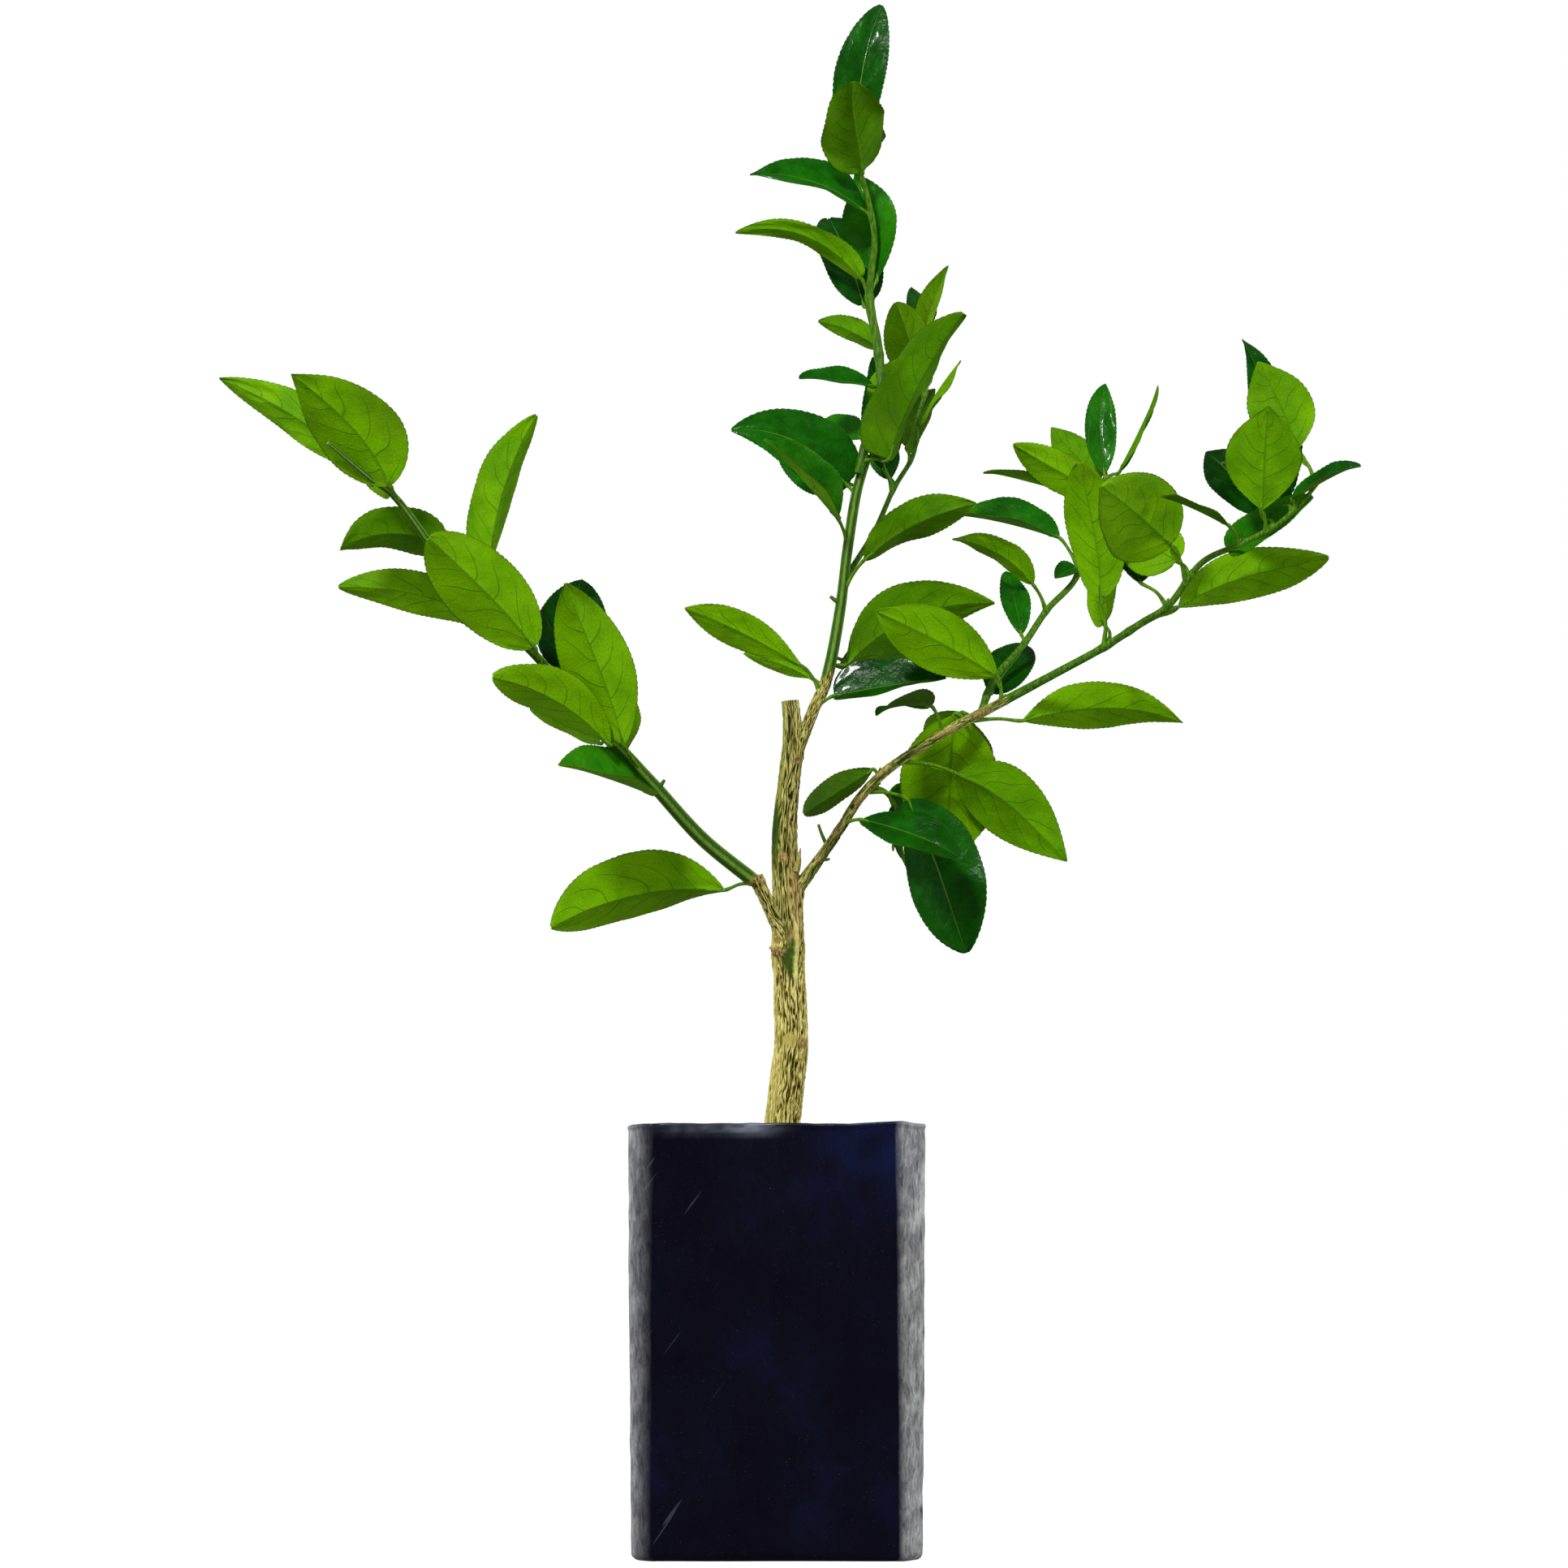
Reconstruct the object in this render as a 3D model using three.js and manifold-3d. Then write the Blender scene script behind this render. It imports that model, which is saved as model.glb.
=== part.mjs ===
// Potted citrus tree with several scions on one stem, standing in its black planter bag.
// Millimetres, +Z up, origin at the middle of the bag's flat underside, -Y towards the front.
import * as THREE from "three";
import { mergeVertices } from "three/addons/utils/BufferGeometryUtils.js";
import Module from "manifold-3d";

const wasm = await Module();
wasm.setup();

// Driving dimensions
const GAP = 0.3;
const BAG = { rim: 160, foot: 156, height: 230, wall: 1.2, floor: 1.5, corner: 14 };
const SOIL_TOP = 214;
const LEAF_THICKNESS = 0.013;
const THINNEST_LEAF = 0.8;
const STALK_RADIUS = 1.05;
const BUD = { length: 3.6, radius: 0.9, chance: 0.4 };

// Facets: how finely each kind of limb is divided
const TRUNK_FACETS = { sides: 12, steps: 1.5 };
const BOUGH_FACETS = { sides: 8, steps: 2 };
const STEM_FACETS = { sides: 5, steps: 1 };
const STALK_FACETS = { sides: 3, steps: 1 };
const BLADE_STATIONS = [0.02, 0.26, 0.64, 0.985];

// Limb routes: each point is x, y, z and the limb's radius there
const ROUTES = {
  trunk: [
    [1.9, 0, 214.3, 12.4], [1.9, 0, 219, 11.3], [2.9, 0, 230, 10.1], [5.4, 0, 252.5, 9.6],
    [7.7, 0, 273, 9.4], [7.4, 0, 293, 9.1], [6.8, 0, 312, 8.9], [6, 0, 323, 9.7], [6, 0, 334, 9.2],
    [5.4, 0, 346, 8.3], [4.8, 0, 362, 7.6], [4.2, 0, 382.6, 7], [4.9, 0, 403, 6.4],
    [7.2, 1, 424.4, 6.2], [8.3, 1, 440, 5.5], [8.3, 2, 453, 5.1], [7.2, 2, 465, 4.7],
  ],
  left_spur: [
    [5.6, -3, 329.7, 4.9], [-3.8, -6, 349.3, 3.9], [-11.9, -9, 366.6, 4.2],
  ],
  left: [
    [-13, -9, 364.6, 4], [-41.1, -22, 387, 3.8], [-66.1, -42, 414, 3.5], [-87.7, -56, 437.2, 3.1],
    [-113.9, -72, 462.5, 2.7], [-129.2, -84, 482.1, 2.4], [-169.6, -105, 520.8, 2.1],
    [-199.9, -122, 560.8, 1.9], [-214.6, -130, 572.2, 1.6], [-235.6, -140, 589.4, 1],
  ],
  leader: [
    [11.2, 1.8, 437.3, 3.8], [20.2, 4, 460, 3.4], [28, 5, 479, 3.3], [35, 8, 515.7, 3],
    [39, 9, 548.4, 2.9], [44.2, 9, 581.4, 2.8], [50.5, 8, 603.4, 2.7],
  ],
  top: [
    [45, 4, 592.3, 2.3], [49.4, 6, 608.5, 2.6], [58, 10, 629.3, 2.6], [56.5, 14, 664, 2.6],
    [51.7, 14, 693.4, 2.3], [54.6, 10, 723.4, 1.9], [51, 5, 746.2, 1.6], [44.7, 0, 766.3, 1.3],
  ],
  side: [
    [37.9, 10.2, 534, 1.7], [54.5, 30, 562.3, 1.5], [66, 50, 589.3, 1.4], [78, 66, 611.9, 1.3],
    [81.1, 76, 635.5, 1.2], [86.2, 82, 654.3, 1.1], [82, 86, 678, 1],
  ],
  right: [
    [10.3, 0.6, 358.8, 4], [23.4, -4, 376.7, 3.1], [34, -8, 391.9, 2.8], [45.2, -10, 409.5, 2.7],
    [59, -12, 424, 2.7], [75.8, -12, 436, 2.6], [92.7, -10, 446.4, 2.6], [114.3, -8, 458.1, 2.7],
    [127.9, -6, 465.3, 2.5],
  ],
  outer: [
    [127.9, -6, 465.3, 2.5], [154.7, -18, 479, 2.2], [178.5, -30, 491.3, 2.1], [199.2, -42, 504, 2],
    [213.5, -52, 513, 1.9], [229.5, -66, 534, 1.7], [247.9, -78, 542.5, 1.5], [266, -86, 550.9, 1.4],
    [279.5, -93, 562.1, 1.2], [289.4, -97, 574.2, 1],
  ],
  inner: [
    [113.1, -4, 458.2, 2.1], [121.1, 8, 477.8, 2], [138, 24, 498, 1.9], [152.9, 44, 520.1, 1.8],
    [170.2, 62, 539.7, 1.7], [175.9, 74, 562.8, 1.6], [185.5, 84, 582.6, 1.5], [189.6, 90, 602.5, 1.2],
  ],
};

// Bare limbs: the stretch of its route that each one covers, and the limb that it is cut to fit
const LIMBS = [
  { name: "trunk", route: "trunk", from: 0, to: 16, facets: TRUNK_FACETS },
  { name: "left_spur", route: "left_spur", from: 0, to: 2, facets: BOUGH_FACETS, fits: ["trunk"] },
  { name: "left_bough", route: "left", from: 0, to: 1.8, facets: BOUGH_FACETS, fits: ["left_spur"] },
  { name: "leader_bough", route: "leader", from: 0, to: 0.9, facets: BOUGH_FACETS, fits: ["trunk"] },
  { name: "right_bough", route: "right", from: 0, to: 2, facets: BOUGH_FACETS, fits: ["trunk"] },
];

// A leaf grows at a place along its stem, on a stalk and then a blade, each with its length,
// its heading in the front view (0 right, 90 up) and its lean away from the front. The blade's
// face turns about its midrib: 0 shows the upper side to the front, 180 the underside.
const LEAF = {
  broad: 0.48, face: 180, fold: 18, curl: 12, sweep: 0, twist: 0, widest: 0.44, taper: 0.75, behind: 0,
};

// Foliage masses: a stretch of stem with the leaves that stand on it. "behind" is the further lean
// of a second leaf that the seeded rule sets at the back of a leaf.
const MASSES = [
  {
    name: "left_lowest_leaf", route: "left_spur", from: 1.6, to: 1.6, seed: 11,
    fits: ["left_spur", "left_bough"],
    leaves: [
      { at: 1.8, stalk: [19.4, 192, -10], blade: [101, 192, -12], broad: 0.5, face: 144, fold: 31,
        curl: 17, sweep: 22, twist: 19, widest: 0.49, taper: 0.84 },
    ],
  },
  {
    name: "left_inner_foliage", route: "left", from: 1.8, to: 5, seed: 171, fits: [],
    leaves: [
      { at: 1.91, stalk: [4.6, 200, -30], blade: [68, 164, -42], broad: 0.62, face: 65, fold: 34,
        curl: 19, sweep: -12, twist: 5, taper: 0.77 },
      { at: 2.96, stalk: [12, 193, -74], blade: [78, 151, -24], broad: 0.44, face: 147, fold: 21,
        curl: 16, sweep: 27, twist: 15, widest: 0.5, taper: 0.78, behind: 60 },
      { at: 2.32, stalk: [25.6, 125, -50], blade: [96, 110, -16], broad: 0.43, face: 185, fold: 20,
        curl: 17, sweep: 9, twist: 9, widest: 0.48, taper: 0.92, behind: 60 },
      { at: 4.2, stalk: [12, 67, 45], blade: [70, 84, 35], broad: 0.59, face: -2, fold: 16, twist: 2,
        widest: 0.39, taper: 0.88 },
      { at: 4.87, stalk: [15.4, 113, -60], blade: [88, 135, -28], broad: 0.49, face: 179, fold: 16,
        curl: 14, sweep: 8, twist: 12, widest: 0.46, taper: 0.63 },
    ],
  },
  {
    name: "left_outer_foliage", route: "left", from: 5, to: 9, seed: 413, fits: [],
    leaves: [
      { at: 5.28, stalk: [7.3, 185, 40], blade: [104, 161, 18], broad: 0.26, face: 155, fold: 22,
        curl: 13, sweep: 34, twist: 11, widest: 0.54, taper: 0.72 },
      { at: 5.75, stalk: [18.6, 73, 20], blade: [94, 75, 15], broad: 0.36, face: 224, fold: 34,
        curl: 11, sweep: -16, twist: -11, widest: 0.39, taper: 0.66 },
      { at: 6.11, stalk: [15.2, 104, 20], blade: [61, 185, -28], broad: 0.5, face: 139, fold: 24,
        curl: 30, sweep: 40, twist: -13, widest: 0.37, taper: 0.65 },
      { at: 7, stalk: [13, 116, -55], blade: [80, 132, -20], broad: 0.58, face: 161, fold: 9, curl: 14,
        sweep: 25, twist: 18, widest: 0.37, taper: 1.08, behind: 60 },
      { at: 7.64, stalk: [8.3, 168, 49], blade: [110, 144, 18], broad: 0.25, face: 158, fold: 27,
        curl: 10, sweep: 24, twist: 15, widest: 0.5, taper: 0.85 },
    ],
  },
  {
    name: "leader_foliage", route: "leader", from: 0.9, to: 6, seed: 658, fits: [],
    leaves: [
      { at: 1, stalk: [13.6, 35, 0], blade: [64, 9, -6], broad: 0.62, face: -51, fold: 28, curl: 11,
        sweep: 5, twist: -5, widest: 0.36, taper: 0.66 },
      { at: 1.5, stalk: [17.8, 122, -10], blade: [75, 154, -8], broad: 0.32, face: 155, fold: 15,
        curl: 16, sweep: 6, twist: 9, widest: 0.55, taper: 0.99, behind: 45 },
      { at: 2.15, stalk: [10, 12, 20], blade: [96, 24, 15], broad: 0.43, face: 210, fold: 16, curl: 19,
        sweep: -40, taper: 1.06, behind: 45 },
      { at: 3.3, stalk: [22.1, 56, -14], blade: [71, 26, -10], broad: 0.41, face: 213, fold: 27,
        curl: 11, sweep: -27, twist: -40, widest: 0.45, taper: 0.85 },
      { at: 4.12, stalk: [16.8, 112, -20], blade: [68, 134, -35], broad: 0.56, face: 50, fold: 52,
        sweep: -12, twist: -2, widest: 0.42, taper: 0.69 },
      { at: 4.95, stalk: [8.5, 128, -2], blade: [74, 156, -18], broad: 0.55, face: 15, fold: 14,
        curl: 17, sweep: 49, twist: 17, widest: 0.32, taper: 0.8, behind: 60 },
    ],
  },
  {
    name: "upper_foliage", route: "top", from: 0, to: 3.4, seed: 15, fits: ["leader_foliage"],
    leaves: [
      { at: 0.43, stalk: [15.4, 0, -20], blade: [93, 63, -10], face: 222, fold: 40, sweep: -8,
        twist: -8, widest: 0.27, taper: 0.62 },
      { at: 0.94, stalk: [6.8, 108, 30], blade: [41, 146, 50], face: 20, fold: 17, curl: 10, twist: -9,
        widest: 0.4, taper: 0.83 },
      { at: 1.8, stalk: [7, 104, 40], blade: [47, 60, 35], broad: 0.52, face: 200 },
      { at: 2.3, stalk: [6.5, 145, -27], blade: [48, 177, -30], broad: 0.49, face: 56, fold: 24,
        curl: 9, sweep: -7, twist: 10, widest: 0.4, taper: 0.71 },
      { at: 2.9, stalk: [6, 84, 30], blade: [49, 150, 38], broad: 0.35, face: 145, fold: 27, sweep: 13,
        twist: 18, widest: 0.46, taper: 0.69 },
    ],
  },
  {
    name: "top_foliage", route: "top", from: 3.4, to: 7, seed: 213, fits: [],
    leaves: [
      { at: 3.74, stalk: [8, 138, 50], blade: [87, 107, 42], broad: 0.43, face: 15, fold: 20, curl: 22,
        widest: 0.43, taper: 0.63 },
      { at: 3.99, stalk: [10.7, 67, 0], blade: [66, 101, 10], broad: 0.52, face: -12, fold: 21,
        sweep: 26, twist: 11, widest: 0.48, taper: 1.24 },
      { at: 3.93, stalk: [13.6, 112, -20], blade: [76, 162, -10], broad: 0.23, face: 144, fold: 24,
        curl: 11, sweep: 66, twist: 36, widest: 0.29, taper: 0.71 },
      { at: 5.58, stalk: [5.6, 141, -10], blade: [70, 165, -18], broad: 0.54, face: 48, fold: 23,
        curl: 16, sweep: 28, twist: 4, widest: 0.37, taper: 1.07 },
      { at: 6.58, stalk: [3.8, 84, -30], blade: [63, 99, -48], broad: 0.65, face: 196, fold: 11,
        curl: 28, sweep: -4, twist: -7, widest: 0.37, taper: 0.84 },
      { at: 6.93, stalk: [8.8, 98, 5], blade: [87, 80, 5], broad: 0.36, face: -11, curl: 13, sweep: -19,
        twist: 18, widest: 0.46, taper: 0.71, behind: 50 },
    ],
  },
  {
    name: "side_foliage", route: "side", from: 0, to: 6, seed: 225, fits: ["leader_foliage"],
    leaves: [
      { at: 1.94, stalk: [13.9, 109, 0], blade: [66, 95, 4], broad: 0.39, face: 20, fold: 14, sweep: 1,
        twist: 10, widest: 0.42, taper: 0.79, behind: 50 },
      { at: 2.79, stalk: [11, 104, 35], blade: [62, 66, 45], broad: 0.42, face: 215, fold: 28,
        sweep: -3, twist: 4, widest: 0.42 },
      { at: 3.81, stalk: [3, 295, -10], blade: [48, 56, -30], broad: 0.27, face: 93, fold: 27, curl: 5,
        sweep: -21, twist: 19, widest: 0.5, taper: 0.73 },
      { at: 4.6, stalk: [8.3, 130, -10], blade: [51, 105, -20], broad: 0.56, face: 187, fold: 14,
        sweep: 21, twist: -3, widest: 0.47, taper: 0.7, behind: 70 },
      { at: 5.75, stalk: [7.8, 87, 10], blade: [54, 72, 20], broad: 0.33, face: 218, fold: 31, curl: 15,
        sweep: -6, twist: 2, widest: 0.37, taper: 0.88 },
      { at: 5.95, stalk: [14.8, 109, 51], blade: [58, 86, 52], broad: 0.39, face: 29, fold: 22,
        sweep: 7, twist: 2, widest: 0.46, taper: 0.82 },
    ],
  },
  {
    name: "right_middle_foliage", route: "right", from: 2, to: 8, seed: 376, fits: [],
    leaves: [
      { at: 2.25, stalk: [12, 9, -30], blade: [64, 338, -28], broad: 0.5, face: -44, fold: 13,
        sweep: -6, twist: 6, taper: 0.67 },
      { at: 3.27, stalk: [23.9, 350, 12], blade: [92, 291, 2], broad: 0.56, face: -18, fold: 25,
        curl: 16, sweep: -5, twist: 49, taper: 0.72, behind: 68 },
      { at: 3.52, stalk: [20, 321, 30], blade: [48, 282, 40], broad: 0.37, face: 80, fold: 20,
        sweep: -5, taper: 0.66 },
      { at: 3.83, stalk: [6, 132, -25], blade: [54, 213, -28], broad: 0.35, face: 152, fold: 24,
        sweep: -7, twist: -4, widest: 0.51, taper: 0.69 },
      { at: 4.5, stalk: [33.8, 349, 15], blade: [80, 322, 10], broad: 0.5, face: 189, fold: 16,
        curl: 13, sweep: -25, twist: -18, widest: 0.4, taper: 1 },
      { at: 5.91, stalk: [17, 111, -20], blade: [45, 191, -44], broad: 0.51, face: 100, fold: 27,
        curl: 27, sweep: 2, twist: -23, widest: 0.33, taper: 0.73 },
      { at: 6.54, stalk: [11.2, 142, 48], blade: [84, 266, 16], broad: 0.68, face: 187, fold: 6,
        curl: 6, twist: -13, widest: 0.48, taper: 0.8, behind: 40 },
      { at: 6.53, stalk: [31.6, 1, 10], blade: [94, 1, 12], broad: 0.33, face: 210, fold: 21, curl: 13,
        sweep: -29, twist: 10, widest: 0.47, taper: 1.07 },
      { at: 7.69, stalk: [15.1, 99, -20], blade: [79, 153, -15], broad: 0.46, face: 168, fold: 12,
        sweep: 7, twist: 12, widest: 0.49, taper: 0.85 },
    ],
  },
  {
    name: "right_outer_foliage", route: "outer", from: 0, to: 6, seed: 147, fits: ["right_middle_foliage"],
    leaves: [
      { at: 2.03, stalk: [27.4, 94, -15], blade: [76, 99, -8], broad: 0.44, face: 157, fold: 8,
        sweep: 6, twist: 7, widest: 0.46, taper: 0.61, behind: 50 },
      { at: 2.65, stalk: [30.3, 26, -10], blade: [88, 18, 5], broad: 0.37, face: 195, fold: 28,
        curl: 13, sweep: -20, twist: -41, widest: 0.47 },
      { at: 3.92, stalk: [26.8, 131, 41], blade: [51, 103, 20], broad: 0.47, face: 17, fold: 15,
        widest: 0.41, taper: 0.8 },
      { at: 4.53, stalk: [23.8, 115, -30], blade: [66, 147, -42], broad: 0.76, face: 179, fold: 7,
        curl: 27, sweep: 11, twist: 13, widest: 0.35, taper: 0.93, behind: 53 },
    ],
  },
  {
    name: "right_tip_foliage", route: "outer", from: 6, to: 9, seed: 20, fits: [],
    leaves: [
      { at: 6.06, stalk: [15.3, 128, -40], blade: [46, 161, -30], broad: 0.33, face: 82, fold: 34,
        curl: 13, sweep: -4, twist: 1, widest: 0.47, taper: 0.85 },
      { at: 6.12, stalk: [20.1, 198, 72], blade: [55, 33, -12], broad: 0.45, face: -27, fold: 35,
        curl: 10, sweep: 13, twist: -5, widest: 0.33, taper: 0.62 },
      { at: 6.79, stalk: [12.8, 106, -30], blade: [57, 87, -12], broad: 0.76, face: 187, fold: 12,
        sweep: 1, twist: -1, widest: 0.48, taper: 1.15 },
      { at: 7, stalk: [24.4, 100, 70], blade: [59, 125, 30], broad: 0.6, face: 14, fold: 16, curl: 11,
        sweep: 7, twist: 1, widest: 0.46, taper: 1.08 },
      { at: 7.69, stalk: [26.6, 110, 72], blade: [113, 98, 26], broad: 0.29, face: 24, fold: 24,
        curl: 14, sweep: 7, twist: 5, widest: 0.4, taper: 0.93 },
      { at: 7.8, stalk: [7.1, 106, -35], blade: [43, 26, -30], broad: 0.44, face: -65, fold: 35,
        curl: 10, twist: -3, widest: 0.42, taper: 0.66 },
      { at: 8.87, stalk: [23.6, 115, 23], blade: [54, 112, 8], broad: 0.67, face: 181, fold: 7,
        curl: 10, sweep: 18, twist: 15, widest: 0.48, taper: 1 },
    ],
  },
  {
    name: "right_inner_foliage", route: "inner", from: 0, to: 4.2, seed: 21, fits: ["right_middle_foliage"],
    leaves: [
      { at: 0.49, stalk: [7.3, 30, 62], blade: [63, 55, 50], broad: 0.42, face: -12, curl: 11,
        twist: -10, widest: 0.39, taper: 0.76 },
      { at: 2.05, stalk: [6, 107, 20], blade: [54, 99, 40], broad: 0.33, face: 10, curl: 15, twist: 11,
        widest: 0.46, taper: 0.84 },
      { at: 2.95, stalk: [17.9, 118, -20], blade: [58, 153, -25], broad: 0.36, face: 135, fold: 31,
        curl: 15, sweep: 31, twist: -11, widest: 0.4, taper: 0.86 },
      { at: 4.09, stalk: [5, 100, -30], blade: [21, 209, -45], broad: 0.67, face: 31, fold: 26,
        curl: 13, sweep: 1, twist: 6, widest: 0.43, taper: 0.76 },
    ],
  },
  {
    name: "right_upper_foliage", route: "inner", from: 4.2, to: 7, seed: 22, fits: [],
    leaves: [
      { at: 4.24, stalk: [21.9, 120, 10], blade: [69, 163, 25], broad: 0.55, face: 58, fold: 35,
        curl: 7, sweep: 4, twist: -12, widest: 0.45, taper: 0.95 },
      { at: 5.6, stalk: [25, 127, 20], blade: [54, 163, 22], broad: 0.32, face: 93, fold: 25, curl: 6,
        sweep: -4, twist: -8, widest: 0.4 },
      { at: 6.13, stalk: [6, 109, -23], blade: [59, 151, -15], broad: 0.42, face: 174, fold: 21,
        curl: 11, twist: -14, widest: 0.43, taper: 0.83 },
      { at: 6.54, stalk: [8, 130, 40], blade: [55, 122, 38], broad: 0.51, face: 177, fold: 16,
        sweep: 10, taper: 0.86 },
      { at: 6.72, stalk: [6.3, 86, 10], blade: [58, 88, 15], broad: 0.35, face: 6, curl: 13, sweep: -27,
        twist: 11, widest: 0.47, taper: 0.82 },
      { at: 6.9, stalk: [9, 22, -20], blade: [56, 65, -20], broad: 0.21, face: 89, fold: 26, curl: 10,
        sweep: -4, twist: 3, widest: 0.49, taper: 0.62 },
    ],
  },
];

// Materials
function material(color, roughness) {
  return new THREE.MeshStandardMaterial({ color, roughness, metalness: 0 });
}
const BAG_BLACK = material(0x12111b, 0.35);
const POTTING_MIX = material(0x2e2118, 0.95);
const BARK_TAN = material(0x9e9052, 0.85);
const SHOOT_GREEN = material(0x4c7a1e, 0.6);
const LEAF_GREEN = material(0x49a008, 0.5);

// A repeatable stream of numbers from 0 to 1
function dice(seed) {
  let state = seed;
  return () => {
    state = (state * 16807) % 2147483647;
    return state / 2147483647;
  };
}

// Solid from a three.js geometry, and back
function solidOf(geometry) {
  const bare = geometry.clone();
  bare.deleteAttribute("normal");
  bare.deleteAttribute("uv");
  const merged = mergeVertices(bare, 1e-4);
  return new wasm.Manifold(new wasm.Mesh({
    numProp: 3,
    vertProperties: new Float32Array(merged.attributes.position.array),
    triVerts: new Uint32Array(merged.index.array),
  }));
}

function geometryOf(solid) {
  const mesh = solid.getMesh();
  const geometry = new THREE.BufferGeometry();
  geometry.setAttribute("position", new THREE.BufferAttribute(new Float32Array(mesh.vertProperties), 3));
  geometry.setIndex(new THREE.BufferAttribute(new Uint32Array(mesh.triVerts), 1));
  return geometry;
}

function biggestPiece(solid) {
  return solid.decompose().sort((a, b) => b.volume() - a.volume())[0];
}

// Directions: a heading in the front view with a lean away from the front, and the frame round it
const FRONT = new THREE.Vector3(0, -1, 0);

function direction(headingDegrees, leanDegrees) {
  const heading = THREE.MathUtils.degToRad(headingDegrees);
  const lean = THREE.MathUtils.degToRad(leanDegrees);
  return new THREE.Vector3(
    Math.cos(lean) * Math.cos(heading),
    Math.sin(lean),
    Math.cos(lean) * Math.sin(heading),
  );
}

function frameRound(along) {
  const towards = FRONT.clone().addScaledVector(along, -FRONT.dot(along)).normalize();
  return { towards, aside: along.clone().cross(towards) };
}

// A route as a smooth curve, with its radius carried by a second curve
function routeOf(points) {
  const centre = new THREE.CatmullRomCurve3(
    points.map(([x, y, z]) => new THREE.Vector3(x, y, z)), false, "catmullrom", 0.5);
  const width = new THREE.CatmullRomCurve3(
    points.map((point) => new THREE.Vector3(point[3], 0, 0)), false, "catmullrom", 0.5);
  const last = points.length - 1;
  return {
    place: (at) => centre.getPoint(at / last),
    along: (at) => centre.getTangent(at / last),
    radius: (at) => width.getPoint(at / last).x,
  };
}

// A tapering limb: a cylinder whose rings are carried to their places along the route
function limbSolid(points, from, to, { sides, steps }, grow = 0) {
  const route = routeOf(points);
  const rings = Math.max(1, Math.ceil((to - from) * steps));
  const geometry = new THREE.CylinderGeometry(1, 1, 1, sides, rings);
  const position = geometry.attributes.position;
  const vertex = new THREE.Vector3();
  for (let i = 0; i < position.count; i += 1) {
    vertex.fromBufferAttribute(position, i);
    const at = from + (vertex.y + 0.5) * (to - from);
    const { towards, aside } = frameRound(route.along(at));
    const radius = route.radius(at) + grow;
    const ring = route.place(at)
      .addScaledVector(aside, vertex.x * radius)
      .addScaledVector(towards, vertex.z * radius);
    position.setXYZ(i, ring.x, ring.y, ring.z);
  }
  return solidOf(geometry);
}

// The midrib of a blade: a chord that arches by its curl and bows sideways by its sweep
function midribOf(leaf, base) {
  const [length, heading, lean] = leaf.blade;
  const chord = direction(heading, lean);
  const { towards, aside } = frameRound(chord);
  const face = THREE.MathUtils.degToRad(leaf.face);
  const upper = towards.clone().multiplyScalar(Math.cos(face)).addScaledVector(aside, Math.sin(face));
  const rise = length * 2 * Math.tan(THREE.MathUtils.degToRad(leaf.curl / 4));
  const bow = length * 2 * Math.tan(THREE.MathUtils.degToRad(leaf.sweep / 4));
  const place = (t) => base.clone()
    .addScaledVector(chord, length * t)
    .addScaledVector(upper, rise * t * (1 - t))
    .addScaledVector(aside, bow * t * (1 - t));
  const along = (t) => chord.clone().multiplyScalar(length)
    .addScaledVector(upper, rise * (1 - 2 * t))
    .addScaledVector(aside, bow * (1 - 2 * t))
    .normalize();
  const normal = (t) => {
    const turn = THREE.MathUtils.degToRad(leaf.face + leaf.twist * (t - 0.5));
    const rib = along(t);
    const raised = towards.clone().multiplyScalar(Math.cos(turn)).addScaledVector(aside, Math.sin(turn));
    return raised.addScaledVector(rib, -raised.dot(rib)).normalize();
  };
  return { length, place, along, normal };
}

// Half the blade's width, from its rounded base to its tip
function halfWidth(leaf, t) {
  const rise = (leaf.taper * leaf.widest) / (1 - leaf.widest);
  const outline = (s) => s ** rise * (1 - s) ** leaf.taper;
  return (leaf.broad * leaf.blade[0] * outline(t)) / outline(leaf.widest) / 2;
}

// A blade: a thin slab folded into a shallow V along its midrib
function bladeSolid(leaf, base, grow = 0) {
  const midrib = midribOf(leaf, base);
  const stations = BLADE_STATIONS.length - 1;
  const geometry = new THREE.BoxGeometry(2, 1, 1, 2, stations, 1);
  const position = geometry.attributes.position;
  const fold = THREE.MathUtils.degToRad(leaf.fold);
  const thickness = Math.max(THINNEST_LEAF, LEAF_THICKNESS * midrib.length) + 2 * grow;
  const vertex = new THREE.Vector3();
  for (let i = 0; i < position.count; i += 1) {
    vertex.fromBufferAttribute(position, i);
    const t = BLADE_STATIONS[Math.round((vertex.y + 0.5) * stations)];
    const normal = midrib.normal(t);
    const side = midrib.along(t).cross(normal);
    const reach = vertex.x * (halfWidth(leaf, t) + grow);
    const point = midrib.place(t)
      .addScaledVector(side, reach * Math.cos(fold))
      .addScaledVector(normal, Math.abs(reach) * Math.sin(fold) + vertex.z * thickness);
    position.setXYZ(i, point.x, point.y, point.z);
  }
  return solidOf(geometry);
}

function bladeBase(leaf, stem) {
  const [reach, heading, lean] = leaf.stalk;
  return stem.place(leaf.at).addScaledVector(direction(heading, lean), reach);
}

// A leaf: its stalk runs from inside the stem to a little way up the blade
function leafSolid(leaf, stem, grow = 0) {
  const root = stem.place(leaf.at);
  const base = bladeBase(leaf, stem);
  const midrib = midribOf(leaf, base);
  const middle = root.clone().lerp(base, 0.5).addScaledVector(stem.along(leaf.at), leaf.stalk[0] * 0.08);
  const stalk = [root, middle, base, midrib.place(0.1)]
    .map((point) => [point.x, point.y, point.z, STALK_RADIUS]);
  return limbSolid(stalk, 0, 3, STALK_FACETS, grow).add(bladeSolid(leaf, base, grow));
}

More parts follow.
